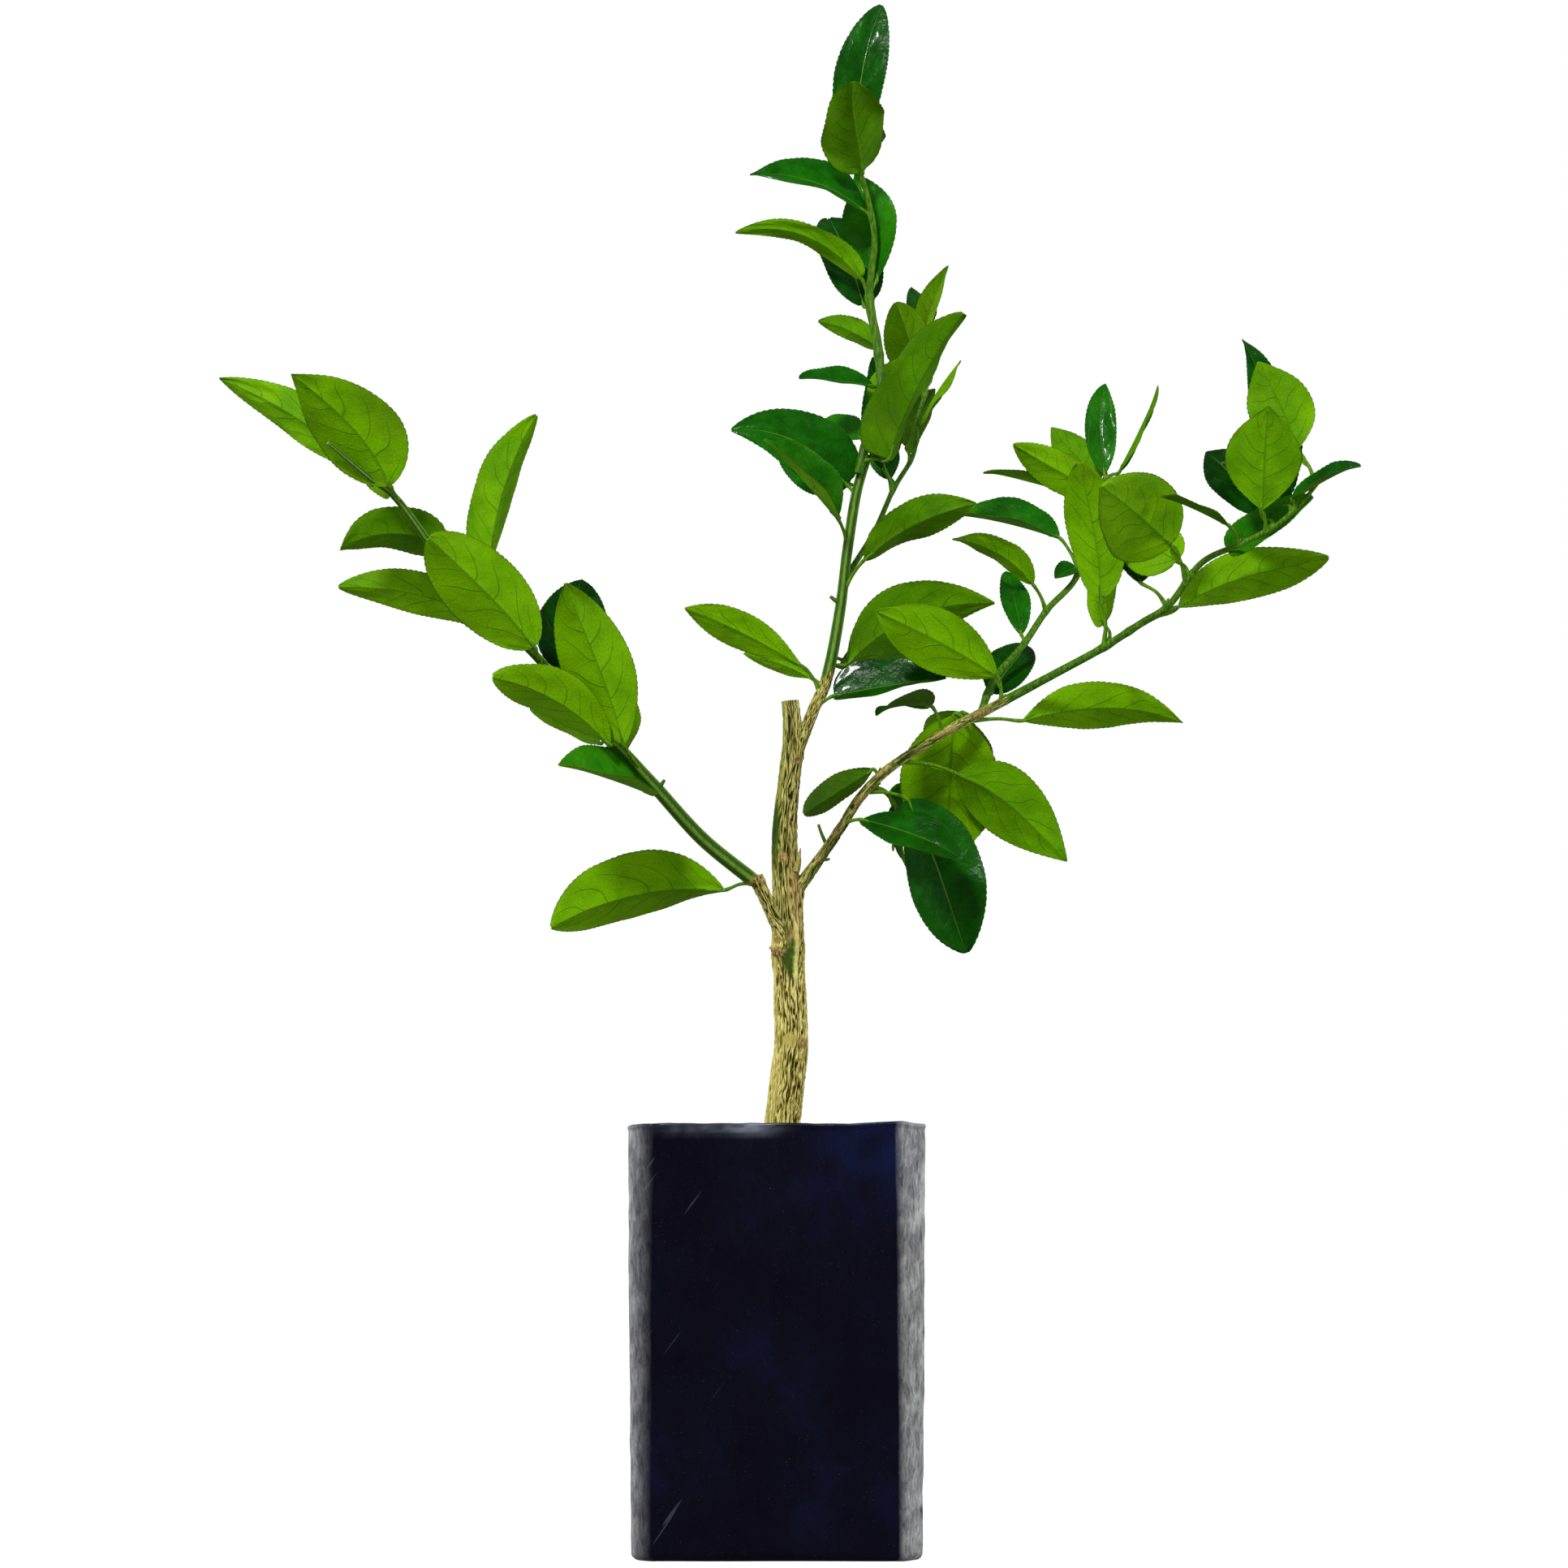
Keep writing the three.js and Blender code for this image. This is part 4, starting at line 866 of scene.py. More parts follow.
def potting_mix():
    plan = np.array(bag_plan(0.93, MIX_HALF))[:, :2] * MIX_HALF
    angles = np.arctan2(plan[:, 1], plan[:, 0])
    order = np.argsort(angles)
    angles, reaches = angles[order], np.linalg.norm(plan, axis=1)[order]

    def inside(x, y):
        """A point of the square taken into the bag's rounded outline."""
        size = max(abs(x), abs(y))
        if size < 1e-9:
            return 0.0, 0.0
        angle = math.atan2(y, x)
        reach = float(np.interp(angle, angles, reaches, period=2 * math.pi))
        return reach * size * math.cos(angle), reach * size * math.sin(angle)

    line = np.linspace(-1.0, 1.0, MIX_CELLS)
    spots, faces = [], []
    for b in line:
        for a in line:
            x, y = inside(a, b)
            lump = 2.0 * smooth_noise(x / 22, y / 22, 1.0) + 1.2 * smooth_noise(x / 7, y / 7, 5.0)
            mound = 2.6 * math.exp(-((x - 4) ** 2 + y ** 2) / 700)
            spots.append((x, y, SOIL_TOP - MIX_SINK + lump + mound))
    last = MIX_CELLS - 1
    for i in range(last):
        for a in range(i * MIX_CELLS, i * MIX_CELLS + last):
            faces.append((a, a + 1, a + MIX_CELLS + 1, a + MIX_CELLS))
    ring = [*range(last), *(i * MIX_CELLS + last for i in range(last))]
    ring += [last * MIX_CELLS + n for n in range(last, 0, -1)] + [i * MIX_CELLS for i in range(last, 0, -1)]
    low = len(spots)
    spots += [(spots[n][0] * MIX_TAPER, spots[n][1] * MIX_TAPER, MIX_FOOT) for n in ring]
    for n in range(len(ring)):
        m = (n + 1) % len(ring)
        faces.append((ring[m], ring[n], low + n, low + m))
    faces.append([low + n for n in reversed(range(len(ring)))])
    return piece_from("potting_mix_bed", spots, faces, [MIX])


def crumb_nodes():
    sheet, given, keys = node_group("crumbs scattered on a bed", {
        "Bed": "Geometry", "Density": "Float", "Spacing": "Float", "Smallest": "Float", "Biggest": "Float",
        "Reach": "Float", "Seed": "Int", "Surface": "Material"})
    up = sheet.part(sheet.out("GeometryNodeInputNormal"), "Z")
    place = sheet.out("GeometryNodeInputPosition")
    off = sheet.sum("MAXIMUM", *(sheet.sum("ABSOLUTE", sheet.part(place, axis)) for axis in "XY"))
    free = sheet.times(sheet.sum("GREATER_THAN", up, 0.6), sheet.sum("LESS_THAN", off, given["Reach"]))
    spots = sheet.out("GeometryNodeDistributePointsOnFaces", {
        "Mesh": given["Bed"], "Selection": free, "Distance Min": given["Spacing"],
        "Density Max": given["Density"], "Seed": given["Seed"]}, distribute_method="POISSON")
    ball = sheet.out("GeometryNodeMeshIcoSphere", {"Radius": 1.0, "Subdivisions": 2})
    lumps = sheet.out("ShaderNodeTexNoise", {"Vector": place, "Scale": 1.3, "Detail": 1.0}, "Fac")
    swell = sheet.scaled(lumps, 1.5, 0.2)
    rough = sheet.out("ShaderNodeVectorMath", {0: place, "Scale": swell}, operation="SCALE")
    ball = sheet.out("GeometryNodeSetPosition", {"Geometry": ball, "Position": rough})
    turn = sheet.out("FunctionNodeRandomValue", {0: (0.0,) * 3, 1: (6.28,) * 3, "Seed": given["Seed"]},
                     data_type="FLOAT_VECTOR")
    size = sheet.out("FunctionNodeRandomValue", {2: given["Smallest"], 3: given["Biggest"],
                                                 "Seed": given["Seed"]}, 1, data_type="FLOAT")
    flat = sheet.out("ShaderNodeCombineXYZ", {
        "X": sheet.times(size, 1.5), "Y": size, "Z": sheet.times(size, 0.7)})
    crumbs = sheet.out("GeometryNodeInstanceOnPoints", {
        "Points": spots, "Instance": ball, "Rotation": turn, "Scale": flat})
    return group_result(sheet, crumbs, given["Surface"]), keys


bed = potting_mix()
stands_for(bed, "potting_mix", "potting_mix")
crumbs = grown_by_nodes("potting_mix_crumbs", bed, *crumb_nodes(), {
    "Density": 60000.0, "Spacing": 0.0052, "Smallest": 0.001, "Biggest": 0.003, "Reach": 0.0705, "Seed": 4,
    "Surface": MIX})
stands_for(crumbs, "potting_mix", "potting_mix")


# Bark: limbs skinned ring by ring, with ridges and fissures, knots, scars and green patches
BARK_VALUES = ("fissure", "green", "scar", "cut", "height")
MARK_SHADES = ("scar", "green", "smooth", "dark", "pale")
CAP_RINGS, CAP_HOLLOW = (0.86, 0.5), 0.4
SKIN_LEVEL = 0.55
RIB_TURN = 0.4
RIDGE_CHANGE, UPPER_STRETCH = 8, 1.2


def bark_plate(angle, run, ridges, long, opened):
    """Height of the wavy ridges of bark at a place and how deep it lies in a fissure, each from 0 to 1."""
    reach = ridges / 8
    x, y, along = math.cos(angle) * reach, math.sin(angle) * reach, run / long
    sway = 1.4 * smooth_noise(x, y, along)
    sway += 0.8 * smooth_noise(x * 2.2 + 9, y * 2.2, along * 2.8)
    sway += 0.25 * smooth_noise(x * 5 + 4, y * 5, along * 6)
    across = ridges * angle / (2 * math.pi)
    first = 2 * abs((across + sway + 0.5) % 1 - 0.5)
    other = 2.2 * smooth_noise(x + 7, y, along * 1.3)
    second = 2 * abs((across * 2 + other + sway + 0.5) % 1 - 0.5)
    openness = opened * (0.85 + 0.45 * smooth_noise(x * 0.8 + 3, y * 0.8, along + 4))
    link = max(0.0, smooth_noise(x * 1.6 + 11, y * 1.6, along * 1.7) * 2.2)
    crack = 1 - min(1.0, first / max(0.55 * openness, 0.25))
    fine = (1 - min(1.0, second / (0.5 * opened))) * min(link, 1.0)
    height = first ** 0.9 * (0.72 + 0.28 * min(1.0, second * 1.3))
    return height, max(crack ** 0.8, 0.5 * fine)


def mark(z, turn, size, **effects):
    """A knot, scar, hollow or patch: its height, its turn round the limb, its size and what it does there."""
    return {**dict.fromkeys(MARK_SHADES, 0.0), "lift": 0.0, "pit": 0.0, "tall": 1.0,
            "z": z, "turn": turn, "size": size, **effects}


def mark_effect(marks, angle, z, radius):
    """What the marks do to the bark at a place."""
    effect = dict.fromkeys(("lift", *MARK_SHADES), 0.0)
    for spot in marks:
        turn = (angle - math.radians(spot["turn"]) + math.pi) % (2 * math.pi) - math.pi
        away = math.hypot(turn * radius, (z - spot["z"]) / spot["tall"])
        near = hill(away, spot["size"])
        effect["lift"] += spot["lift"] * near - spot["pit"] * hill(away, spot["size"] * 0.45)
        for key in MARK_SHADES:
            effect[key] = max(effect[key], spot[key] * min(1.0, near * 1.7))
    return effect


def limb(name, path, sides, spacing, depth, plates, look, *nodes, marks=(), cut=0.0):
    """A closed limb along a path. look(at, angle) gives how woody and how green it is.

    plates are the number of ridges, the length of their waves and how open the fissures are at the foot and
    at the end, and then perhaps another number of ridges and the run where it takes over.
    """
    ats, runs = path.stations(0, path.spans, spacing)
    ridges, long, low, high, *upper = plates
    spots, values = [], []

    def keep(spot, fissure=0.0, green=0.0, scar=0.0, shown=0.0, height=0.6):
        spots.append(spot)
        values.append((fissure, green, scar, shown, height))

    for at, run in zip(ats, runs):
        centre, radius = path.place(at), path.radius(at)
        towards, aside = frame_round(path.along(at))
        for n in range(sides):
            angle = 2 * math.pi * n / sides
            out = towards * math.cos(angle) + aside * math.sin(angle)
            x, y = math.cos(angle) * radius, math.sin(angle) * radius
            woody, green = look(at, angle)
            height, fissure = bark_plate(angle, run, ridges, long, low + (high - low) * run / runs[-1])
            if upper:
                broader, change = upper
                share = held((run - change) / RIDGE_CHANGE)
                other = bark_plate(angle, run, broader, long * UPPER_STRETCH, high)
                height, fissure = height + (other[0] - height) * share, fissure + (other[1] - fissure) * share
            effect = mark_effect(marks, angle, centre[2] + out[2] * radius, radius)
            strength = woody * (1 - effect["smooth"])
            small = 0.2 * smooth_noise(x / 0.7, y / 0.7, run / 3)
            rib = math.cos(RIBS * angle + RIB_TURN)
            sway = radius * (0.045 * smooth_noise(x / 9 + 3, y / 9, run / 30) + 0.035 * rib * (1 - woody))
            relief = depth * strength * (height - 0.8 + small - 0.6 * fissure)
            bare = SKIN_LEVEL + (0.03 + 0.3 * rib) * (1 - woody)
            # The colour follows the ridges: pale tops and darker flanks and fissures, partly painted
            # highlight and shade
            level = height * strength + bare * (1 - strength)
            level = level * (1 - 0.75 * effect["green"]) * (1 - effect["pale"]) + effect["pale"]
            groove = max(fissure * strength, effect["dark"] * (1 - effect["scar"]))
            keep(centre + out * (radius + sway + effect["lift"] + relief), groove,
                 max(green, effect["green"]), effect["scar"], height=level)
    faces = list(rings_joined(len(ats), sides))
    for row, at, flip, shown in ((0, 0, True, 0.0), (len(ats) - 1, path.spans, False, cut)):
        centre, along = path.place(at), path.along(at)
        ring = [row * sides + n for n in range(sides)]
        rims = [spots[n] - centre for n in ring]
        closing = []
        for share in CAP_RINGS:
            fresh = [len(spots) + n for n in range(sides)]
            for rim in rims:
                rough = 0.3 * smooth_noise(rim[0], rim[1] + share * 9, rim[2])
                keep(centre + rim * share + along * rough, shown=shown)
            closing += [(ring[n - 1], ring[n], fresh[n], fresh[n - 1]) for n in range(sides)]
            ring = fresh
        closing += [(ring[n - 1], ring[n], len(spots)) for n in range(sides)]
        keep(centre - along * (0.0 if flip else CAP_HOLLOW), shown=shown)
        faces += [face[::-1] for face in closing] if flip else closing
    made = piece_from(name, spots, faces, [BARK], stored=dict(zip(BARK_VALUES, zip(*values))))
    stands_for(made, "bark", *nodes)


# Marks: the graft's hollow, painted dark as shade, its two rows of beads, knots and hollows, the green patch
# and its pale lip
TRUNK_MARKS = [
    # The graft's hollow: painted shade, dark with no dip in the surface
    mark(325.2, -34, 5.2, tall=0.5, dark=1.0, smooth=0.9),
    *[mark(z, turn, 1.1, lift=lift, scar=1.0, smooth=1.0)
      for z, turn, lift in ((327.6, -76, 1.4), (327.0, -59, 2.0), (326.4, -43, 2.2), (325.8, -27, 2.2),
                            (325.2, -11, 1.8))],
    *[mark(z, turn, 0.95, lift=1.6, scar=0.9, smooth=1.0)
      for z, turn in ((324.8, -51), (324.0, -35), (323.4, -19))],
    mark(336.0, -12, 2.6, tall=1.6, green=0.8, smooth=0.7, lift=-0.5),
    mark(335.0, 8, 3.0, tall=1.2, dark=0.45, scar=0.5, smooth=0.8, lift=-0.4),
    mark(378.0, -8, 2.2, lift=0.9, pit=1.4, scar=0.75, smooth=0.8),
    mark(431.5, 38, 2.5, lift=1.0, pit=2.0, scar=0.5, green=0.3, smooth=0.8),
    mark(275.5, 40, 2.6, lift=1.0, pit=1.2, scar=0.8, smooth=0.8),
    mark(276.5, -6, 4.4, tall=0.9, smooth=0.9),
    mark(250.0, -42, 3.6, tall=6.0, smooth=0.55, pale=0.25),
    mark(392.0, -62, 3.0, tall=5.0, green=0.9, smooth=0.5, lift=0.9),
    mark(362.0, 44, 2.6, tall=7.0, scar=0.6, smooth=0.3, lift=0.7),
    mark(346.0, 82, 4.0, tall=1.6, lift=0.6),
    mark(353.0, 84, 3.6, tall=1.5, lift=1.2),
    mark(359.5, 86, 3.6, tall=1.2, lift=2.0),
    mark(436.0, 80, 2.8, tall=1.6, lift=1.6),
    mark(300.0, 160, 2.4, lift=0.9, pit=1.0, scar=0.6, smooth=0.7),
    mark(412.0, 205, 2.2, lift=0.8, pit=1.1, scar=0.6, smooth=0.7),
    mark(352.0, 150, 3.0, tall=4.0, green=0.7, smooth=0.5),
    *[mark(z, turn, size, tall=1.5 / size ** 0.4, green=0.85, smooth=1.0, lift=-0.6)
      for z, turn, size in ((312.0, 7, 0.9), (315.0, 5, 1.7), (318.0, 1, 2.7), (321.0, -3, 3.7),
                            (325.5, 10, 3.0), (330.0, 16, 2.1))],
    *[mark(312.5 + 4.3 * n, 23 + 2.0 * n, 1.25, tall=2.2, lift=0.95, smooth=0.9, pale=0.8) for n in range(7)],
]
SPUR_MARKS = [
    mark(366.0, -30, 1.6, lift=0.9, scar=0.95, smooth=0.8),
    mark(364.0, 30, 1.4, lift=0.8, scar=0.8, smooth=0.8),
    mark(364.0, -85, 1.5, lift=0.8, scar=0.9, smooth=0.8),
]
RIGHT_MARKS = [
    mark(z, turn, 1.9, tall=1.2, lift=0.6, scar=0.5, smooth=0.5)
    for z, turn in ((377, 20), (393, -40), (409.5, 30), (424, -20), (436, 60), (446, 0), (457, 20))
]


def trunk_look(at, angle):
    """Bare bark all round, with a green strip down the left side of the upper trunk."""
    strip = hill(angle - math.radians(287), 0.34) * held((at - 9.5) / 2)
    return 1.0, 0.85 * strip * max(0.0, 0.85 + 0.6 * smooth_noise(at * 0.9, angle * 2, 4.0))


def left_bough_look(at, angle):
    """Green from its foot on, out of a short woody collar."""
    collar = max(0.0, 1 - at / 0.1)
    return collar, 1 - collar


def leader_look(at, angle):
    """Woody below and green above, with an uneven border."""
    turn = held((at - 1.95 - 0.2 * smooth_noise(math.cos(angle), math.sin(angle), 2.0)) / 0.15)
    return 1 - turn, turn


def right_look(at, angle):
    """Brown with lengthwise green streaks, mostly on its lower side."""
    lower = 0.5 + 0.5 * math.cos(angle - math.radians(75))
    streak = smooth_noise(math.cos(angle) * 1.8, math.sin(angle) * 1.8, at * 0.55)
    return 0.85, held(0.35 * lower + 1.6 * streak + 0.05)


def even_look(woody, green):
    """The same all over a limb."""
    return lambda at, angle: (woody, green)


limb("trunk_bark", PATHS["trunk"], 220, 0.65, 1.2, (26, 20.0, 0.8, 1.1, 18, 116.0), trunk_look, "trunk",
     marks=TRUNK_MARKS, cut=1.0)
limb("left_spur_bark", PATHS["left_spur"], 100, 0.6, 0.8, (10, 13.0, 1.05, 1.05), trunk_look, "left_spur",
     marks=SPUR_MARKS, cut=1.0)
limb("left_bough_bark", PATHS["left"], 36, 1.4, 0.3, (9, 9.0, 0.8, 0.8), left_bough_look,
     "left_bough", "left_inner_foliage", "left_outer_foliage")
limb("leader_bough_bark", PATHS["leader"], 60, 0.7, 0.5, (11, 11.0, 0.7, 0.7), leader_look,
     "leader_bough", "leader_foliage", cut=1.0)
limb("right_bough_bark", PATHS["right"], 60, 0.7, 0.5, (10, 12.0, 0.9, 0.9), right_look,
     "right_bough", "right_middle_foliage", marks=RIGHT_MARKS)

# Green stubs and a dead spike, as x, y, z and radius
GREEN = even_look(0.3, 1.0)
STUBS = {
    "trunk_dead_spike": ([(10.4, -4, 370.0, 2.3), (11.8, -5, 375, 1.6), (12.2, -5.6, 379, 1.0),
                          (12.9, -6, 382.5, 0.35)], even_look(0.5, 0.0), "trunk"),
    "right_bough_green_stub": ([(26.6, -5, 386, 1.1), (24.6, -7, 390.5, 0.9), (22.8, -8, 395.6, 0.8)],
                               GREEN, "right_bough"),
    "right_bough_short_stub": ([(24.4, -5, 377.6, 1.2), (27, -7, 376.2, 0.9), (29, -8, 376.6, 0.6)],
                               GREEN, "right_bough"),
    "left_bough_stub": ([(-64.4, -42, 413.4, 1.5), (-62.6, -43.6, 416, 1.1), (-61.2, -44.4, 418, 0.8)],
                        GREEN, "left_bough"),
    "leader_stub": ([(35.6, 8, 519.6, 1.5), (32, 6.6, 521.8, 1.2), (29.6, 6, 523.6, 0.9)],
                    GREEN, "leader_bough"),
}
for name, (points, look, node) in STUBS.items():
    limb(name, Route(points), 22, 0.35, 0.3, (7, 3.0, 0.8, 0.8), look, node, cut=0.6)


# Leaves: the rule that set the solids, carried to finer blades
BEHIND_STEP = 0.12
BEHIND_STALK, BEHIND_LEAN = 13, 60


def dice(seed):
    """A repeatable stream of numbers from 0 to 1."""
    state = seed

    def roll():
        nonlocal state
        state = state * 16807 % 2147483647
        return state / 2147483647

    return roll


def leaf_behind(front, roll):
    """A leaf a little further along the stem that leans back behind a measured one."""
    length, heading, lean = front["blade"]
    return {
        **front,
        "at": front["at"] + BEHIND_STEP,
        "stalk": (max(front["stalk"][0], BEHIND_STALK), front["stalk"][1], BEHIND_LEAN),
        "blade": (length * (0.72 + 0.16 * roll()), heading + 20 * (roll() - 0.5), lean + front["behind"]),
        "face": front["face"] + 60 * (roll() - 0.5),
        "sweep": 16 * (roll() - 0.5),
        "behind": 0,
    }


class Midrib:
    """A blade's midrib: a chord that arches by its curl and bows sideways by its sweep."""

    def __init__(self, row, base):
        self.length, heading, lean = row["blade"]
        self.base = base
        self.row = row
        self.chord = direction(heading, lean)
        self.towards, self.aside = frame_round(self.chord)
        self.upper = self.turned(row["face"])
        self.rise = self.length * 2 * math.tan(math.radians(row["curl"] / 4))
        self.bow = self.length * 2 * math.tan(math.radians(row["sweep"] / 4))

    def turned(self, degrees):
        """A direction across the chord."""
        turn = math.radians(degrees)
        return self.towards * math.cos(turn) + self.aside * math.sin(turn)

    def place(self, t):
        return (self.base + self.chord * self.length * t + self.upper * self.rise * t * (1 - t)
                + self.aside * self.bow * t * (1 - t))

    def along(self, t):
        return unit(self.chord * self.length + self.upper * self.rise * (1 - 2 * t)
                    + self.aside * self.bow * (1 - 2 * t))

    def normal(self, t):
        rib = self.along(t)
        raised = self.turned(self.row["face"] + self.row["twist"] * (t - 0.5))
        return unit(raised - rib * raised.dot(rib))


def half_width(row, t):
    rise = row["taper"] * row["widest"] / (1 - row["widest"])
    full = row["widest"] ** rise * (1 - row["widest"]) ** row["taper"]
    return row["broad"] * row["blade"][0] * t ** rise * (1 - t) ** row["taper"] / full / 2


def stalk_ends(row, path):
    """Where a stalk leaves its stem, its bent middle, and where its blade begins."""
    reach, heading, lean = row["stalk"]
    root = path.place(row["at"])
    base = root + direction(heading, lean) * reach
    return root, (root + base) / 2 + path.along(row["at"]) * reach * 0.08, base


def blade_cast(row, chance):
    """What chance gives one blade: its swellings, waves, bent tip, rolled rim and the spread of its veins."""
    even = chance.uniform
    return {
        "seed": even(0.0, 90.0), "quilt": row["quilt"] * even(0.7, 1.3), "wave": row["wavy"] * even(0.9, 2.0),
        "sway": row["wavy"] * even(1.2, 3.0), "phases": (chance.random(), chance.random()),
        "droop": even(0.5, 4.0), "roll": row["roll"] * even(-0.5, 1.8), "stray": even(-0.8, 0.8),
        "spread": even(0.8, 1.15), "first": even(0.0, 0.4),
    }


def vein_place(t, u, cast):
    """Where a spot of the blade lies along the run of its side veins, which are unevenly spaced."""
    drift = smooth_noise(t * 4, u * 1.6, cast["seed"]) * 0.09
    return max(0.0, cast["first"] / VEIN_PAIRS + t * cast["spread"] + drift)


def blade_relief(t, u, scale, cast):
    """Height of the blade over its fold: swellings between side veins, waves, a rolled rim, a bent tip."""
    out, right = abs(u), u > 0
    seed = cast["seed"]
    turn = VEIN_PAIRS * vein_place(t, u, cast) - VEIN_LEAN * out ** VEIN_BEND + (0.5 if right else 0.0)
    swell = 0.55 + 1.1 * smooth_noise(math.floor(turn) * 1.7, 8.0 if right else 3.0, seed)
    panel = math.sin(math.pi * (turn % 1.0)) ** 0.8 * max(swell, 0.05)
    middle = math.sin(math.pi * t)
    height = cast["quilt"] * panel * min(1.0, out / 0.16) * (1 - out ** 3) * middle ** 0.4
    height += cast["sway"] * smooth_noise(2.6 * t, 1.3 * u, seed + 7) * out ** 0.7
    height += 0.5 * smooth_noise(9 * t, 4 * u, seed + 3) * min(1.0, out / 0.2)
    phase = cast["phases"][1 if right else 0]
    height += cast["wave"] * out ** 2.5 * math.sin(2 * math.pi * (1.7 * t + phase)) * middle ** 0.5
    height += cast["roll"] * max(0.0, (out - 0.68) / 0.32) ** 2 * middle ** 0.5
    height -= cast["droop"] * max(0.0, (t - 0.68) / 0.32) ** 2
    return height * scale


def blade_shell(row, base, chance):
    """Points of both sides of one closed blade, and the chart its veins follow."""
    rib = Midrib(row, base)
    scale = rib.length / COMMON_LENGTH
    rows = int(rib.length / ROW_SPACING) + EXTRA_ROWS
    columns = [-u for u in reversed(COLUMNS[1:])] + list(COLUMNS)
    cast = blade_cast(row, chance)
    fold = math.radians(row["fold"])
    upper, under, chart = [], [], []
    for i in range(rows):
        t = BLADE_START + (BLADE_END - BLADE_START) * i / (rows - 1)
        along, normal = rib.along(t), rib.normal(t)
        side = np.cross(along, normal)
        half = half_width(row, t)
        tooth = TOOTH * min(1.0, half / 8) * TOOTH_ROWS[i % 3] * chance.uniform(0.5, 1.0)
        centre = rib.place(t) + side * cast["stray"] * scale * math.sin(2 * math.pi * t)
        for u in columns:
            out = abs(u) * max(half - tooth * abs(u) ** 12, 0.15)
            sign = 1.0 if u > 0 else -1.0
            soft = math.sqrt(out * out + SOFT_FOLD) - math.sqrt(SOFT_FOLD)
            height = soft * math.sin(fold) * (1.1 - 0.2 * abs(u)) + blade_relief(t, u, scale, cast)
            spot = centre + side * sign * out * math.cos(fold) + normal * height
            slope = fold * min(1.0, out / 1.5)
            outward = unit(normal * math.cos(slope) - side * sign * math.sin(slope) * (1.0 if u else 0.0))
            thick = BLADE_HALF * (1 - 0.5 * abs(u) ** 6)
            ridge = 0.7 * (1 - 0.65 * t) * hill(out, 0.8) * min(1.0, half / 3)
            upper.append(spot + outward * (thick - 0.14 * hill(out, 0.7)))
            under.append(spot - outward * (thick + ridge))
            chart.append(((u + 1) / 2, vein_place(t, u, cast)))
    return upper + under, rows, len(columns), chart


def stalk_wing(row, path):
    """The narrow green wing along the upper part of a stalk, as a small blade of its own."""
    root, middle, base = stalk_ends(row, path)
    start = root * 0.15 + middle * 0.85
    chord = base - start
    long = float(np.linalg.norm(chord))
    heading = math.degrees(math.atan2(chord[2], chord[0]))
    lean = math.degrees(math.asin(chord[1] / long))
    wing = {**LEAF, "blade": (long, heading, lean), "broad": row["wing"] / long, "face": row["face"],
            "fold": 14, "curl": 0, "widest": 0.66, "taper": 0.42, "tone": 0.8}
    return wing, start


CHARTS_ACROSS = 4
CHART_EDGE = 0.004


def blades_piece(name, grown, node):
    """All the blades of a mass as one piece: upper faces, undersides and rims, with their maps."""
    cell_w, cell_h = 1 / CHARTS_ACROSS, 1 / math.ceil(2 * len(grown) / CHARTS_ACROSS)
    spots, faces, finishes, tones, chart, veins = [], [], [], [], [], []
    for number, (row, base, chance) in enumerate(grown):
        shell, rows, wide, vein_chart = blade_shell(row, base, chance)
        start, shift = len(spots), rows * wide
        spots += shell
        # Each leaf's tone, partly painted light and shade, kept on all its points
        tones += [held(row["tone"] + chance.uniform(-0.05, 0.05))] * len(shell)

        def add_face(corners, side):
            """A face whose corners are a row, a column and 1 for the under points, mapped with its side."""
            faces.append([start + i * wide + j + shift * below for i, j, below in corners])
            finishes.append(side)
            cell_y, cell_x = divmod(2 * number + side, CHARTS_ACROSS)
            for i, j, _ in corners:
                vein = vein_chart[i * wide + j]
                x = cell_x * cell_w + CHART_EDGE + i / (rows - 1) * (cell_w - 2 * CHART_EDGE)
                y = cell_y * cell_h + CHART_EDGE + vein[0] * (cell_h - 2 * CHART_EDGE)
                chart.append((x, y))
                veins.append(vein)

        for i in range(rows - 1):
            for j in range(wide - 1):
                quad = [(i, j), (i, j + 1), (i + 1, j + 1), (i + 1, j)]
                add_face([(*spot, 0) for spot in quad], 0)
                add_face([(*spot, 1) for spot in reversed(quad)], 1)
        rim = [(i, 0, i + 1, 0) for i in range(rows - 1)]
        rim += [(i + 1, wide - 1, i, wide - 1) for i in range(rows - 1)]
        rim += [(rows - 1, j, rows - 1, j + 1) for j in range(wide - 1)]
        rim += [(0, j + 1, 0, j) for j in range(wide - 1)]
        for a, b, c, d in rim:
            add_face([(a, b, 0), (c, d, 0), (c, d, 1), (a, b, 1)], 1)
    made = piece_from(name, spots, faces, [UPPER_LEAF, UNDER_LEAF], finishes, {"tone": tones},
                      {"OFBake": chart, "Blade": veins})
    stands_for(made, "foliage", node)


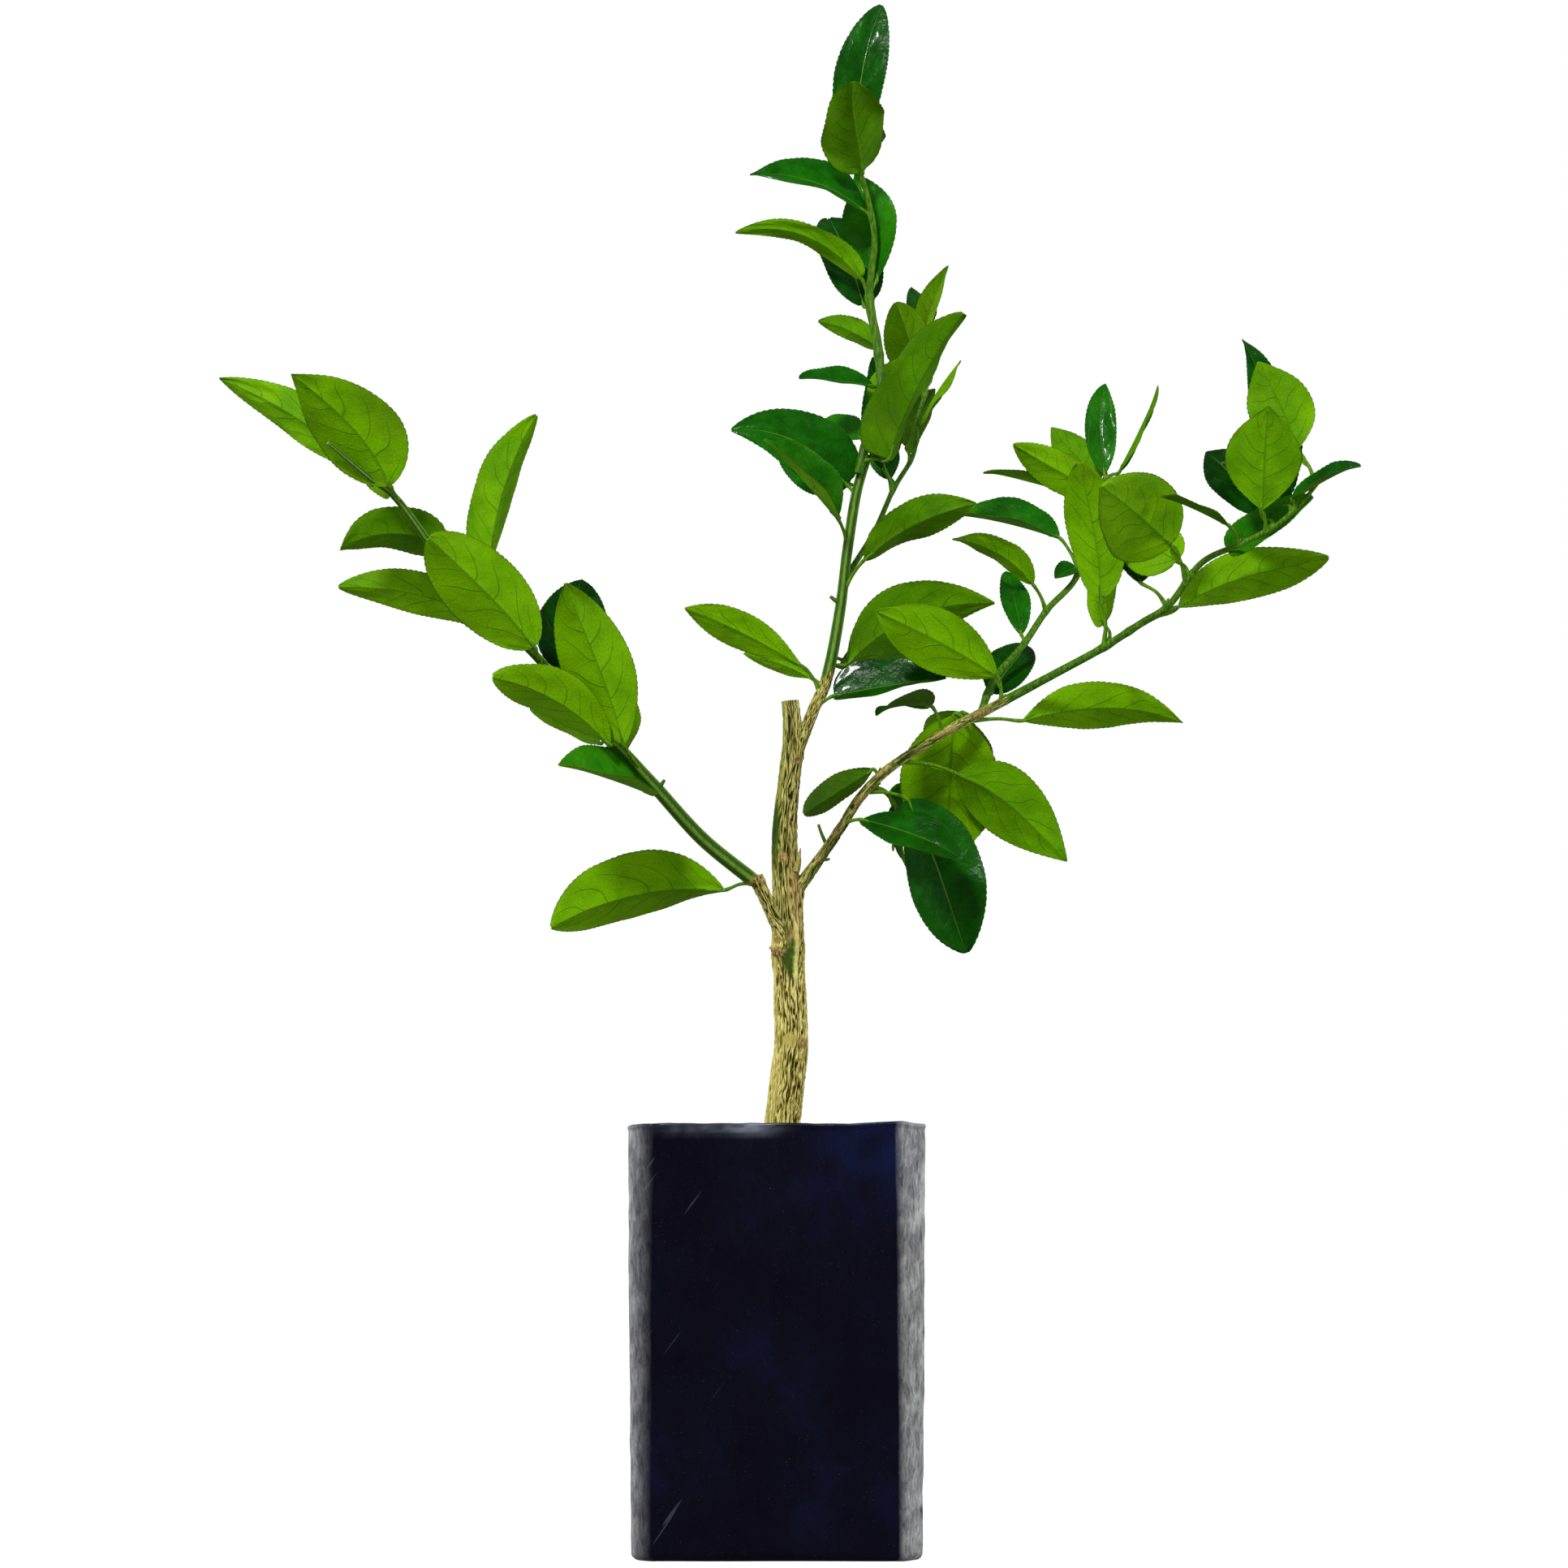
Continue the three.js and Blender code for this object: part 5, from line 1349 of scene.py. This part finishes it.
# Shoots and stalks: paths turned into ribbed tubes by nodes
def shoot_nodes():
    sheet, given, keys = node_group("ribbed shoots along paths", {
        "Paths": "Geometry", "Sides": "Int", "Ribs": "Int", "Rib height": "Float", "Surface": "Material"})
    curve = sheet.out("GeometryNodeMeshToCurve", {"Mesh": given["Paths"]})
    thick = sheet.out("GeometryNodeInputNamedAttribute", {"Name": "thick"}, data_type="FLOAT")
    ring = sheet.out("GeometryNodeCurvePrimitiveCircle", {"Resolution": given["Sides"], "Radius": 1.0},
                     mode="RADIUS")
    share = sheet.sum("DIVIDE", sheet.out("GeometryNodeInputIndex"), given["Sides"])
    angle = sheet.times(sheet.times(share, 2 * math.pi), given["Ribs"])
    swell = sheet.scaled(sheet.sum("COSINE", angle), given["Rib height"], 1.0)
    spot = sheet.out("GeometryNodeInputPosition")
    ribbed = sheet.out("ShaderNodeVectorMath", {0: spot, "Scale": swell}, operation="SCALE")
    ring = sheet.out("GeometryNodeSetPosition", {"Geometry": ring, "Position": ribbed})
    tube = sheet.out("GeometryNodeCurveToMesh", {
        "Curve": curve, "Profile Curve": ring, "Scale": thick, "Fill Caps": True})
    smooth = sheet.out("GeometryNodeSetShadeSmooth", {"Geometry": tube})
    return group_result(sheet, smooth, given["Surface"]), keys


SHOOT_TREE, SHOOT_KEYS = shoot_nodes()


def face_outwards(made):
    """Turns a closed piece's faces outwards where they point in."""
    mesh = made.data
    mesh.calc_loop_triangles()
    corners = np.empty(len(mesh.loop_triangles) * 3, dtype=np.int32)
    mesh.loop_triangles.foreach_get("vertices", corners)
    spots = np.empty(len(mesh.vertices) * 3)
    mesh.vertices.foreach_get("co", spots)
    a, b, c = spots.reshape(-1, 3)[corners.reshape(-1, 3)].transpose(1, 0, 2)
    if np.einsum("ij,ij->", a, np.cross(b, c)) < 0:
        mesh.flip_normals()


def shoots_piece(name, lines, node):
    """Tubes along lines of (points, radii, freshness), made by the shoot nodes."""
    spots, edges, thick, fresh = [], [], [], []
    for points, radii, young in lines:
        edges += [(len(spots) + n, len(spots) + n + 1) for n in range(len(points) - 1)]
        spots += [tuple(spot) for spot in np.asarray(points) * MM]
        thick.extend(np.asarray(radii) * MM)
        fresh += young
    mesh = bpy.data.meshes.new(name + "_paths")
    mesh.from_pydata(spots, edges, [])
    store(mesh, {"thick": thick, "fresh": fresh})
    source = into_scene(name + "_paths", mesh)
    made = grown_by_nodes(name, source, SHOOT_TREE, SHOOT_KEYS, {
        "Sides": 3 * RIBS, "Ribs": RIBS, "Rib height": 0.05, "Surface": SHOOT})
    bpy.data.objects.remove(source)
    face_outwards(made)
    stands_for(made, "foliage", node)


def stem_line(path, start, end, leaves):
    """The green shoot between two places on a route, a little swollen where each leaf stands."""
    ats, _ = path.stations(start, end, 2.2)
    points = [path.place(at) for at in ats]
    radii = []
    for at, point in zip(ats, points):
        swell = sum(0.16 * hill(np.linalg.norm(point - path.place(row["at"])), 2.4) for row in leaves)
        radii.append(path.radius(at) * (1 + swell))
    if end >= path.spans:
        tip = path.along(end)
        points += [points[-1] + tip * reach for reach in TIP_PLACES]
        radii += [radii[-1] * share for share in TIP_SHARES]
    return points, radii, [0.15 + 0.35 * (at / path.spans) for at in ats] + [0.8] * (len(points) - len(ats))


def stalk_line(row, path):
    """A leaf's stalk: swollen at its foot, slim in the middle, running on under the blade's midrib."""
    root, middle, base = stalk_ends(row, path)
    rib = Midrib(row, base)
    run_on = rib.place(0.1) - rib.normal(0.1) * 0.7
    route = Route([(*spot, 1.0) for spot in (root, middle, base, run_on)])
    ats = np.linspace(0.0, route.spans, 19)
    radii = np.interp(ats, STALK_PLACES, STALK_RADII)
    return [route.place(at) for at in ats], radii, [0.75] * len(ats)


def bud_line(row, path):
    """A pointed bud in the angle between a stalk and its stem."""
    lean = unit(direction(row["stalk"][1], row["stalk"][2]) + path.along(row["at"]))
    root = path.place(row["at"]) + lean * path.radius(row["at"]) * 0.6
    return [root + lean * reach for reach in BUD_PLACES], BUD_RADII, [0.5] * len(BUD_RADII)


WOODY_ROUTES = ("left", "leader", "right", "left_spur")

for mass, (route, start, end, seed, rows) in MASSES.items():
    path = PATHS[route]
    roll = dice(seed)
    grown = rows + [leaf_behind(row, roll) for row in rows if row["behind"] > 0]
    lines = [] if route in WOODY_ROUTES else [stem_line(path, start, end, grown)]
    for row in grown:
        lines.append(stalk_line(row, path))
        if roll() < BUD_CHANCE:
            lines.append(bud_line(row, path))
    stem_name = mass.replace("_foliage", "").replace("_leaf", "")
    shoots_piece(stem_name + "_shoots", lines, mass)
    blades = [(row, stalk_ends(row, path)[2]) for row in grown]
    blades += [stalk_wing(row, path) for row in rows if row["wing"] > 0]
    blades_piece(stem_name + "_leaves",
                 [(row, base, random.Random(seed * 100 + n)) for n, (row, base) in enumerate(blades)], mass)
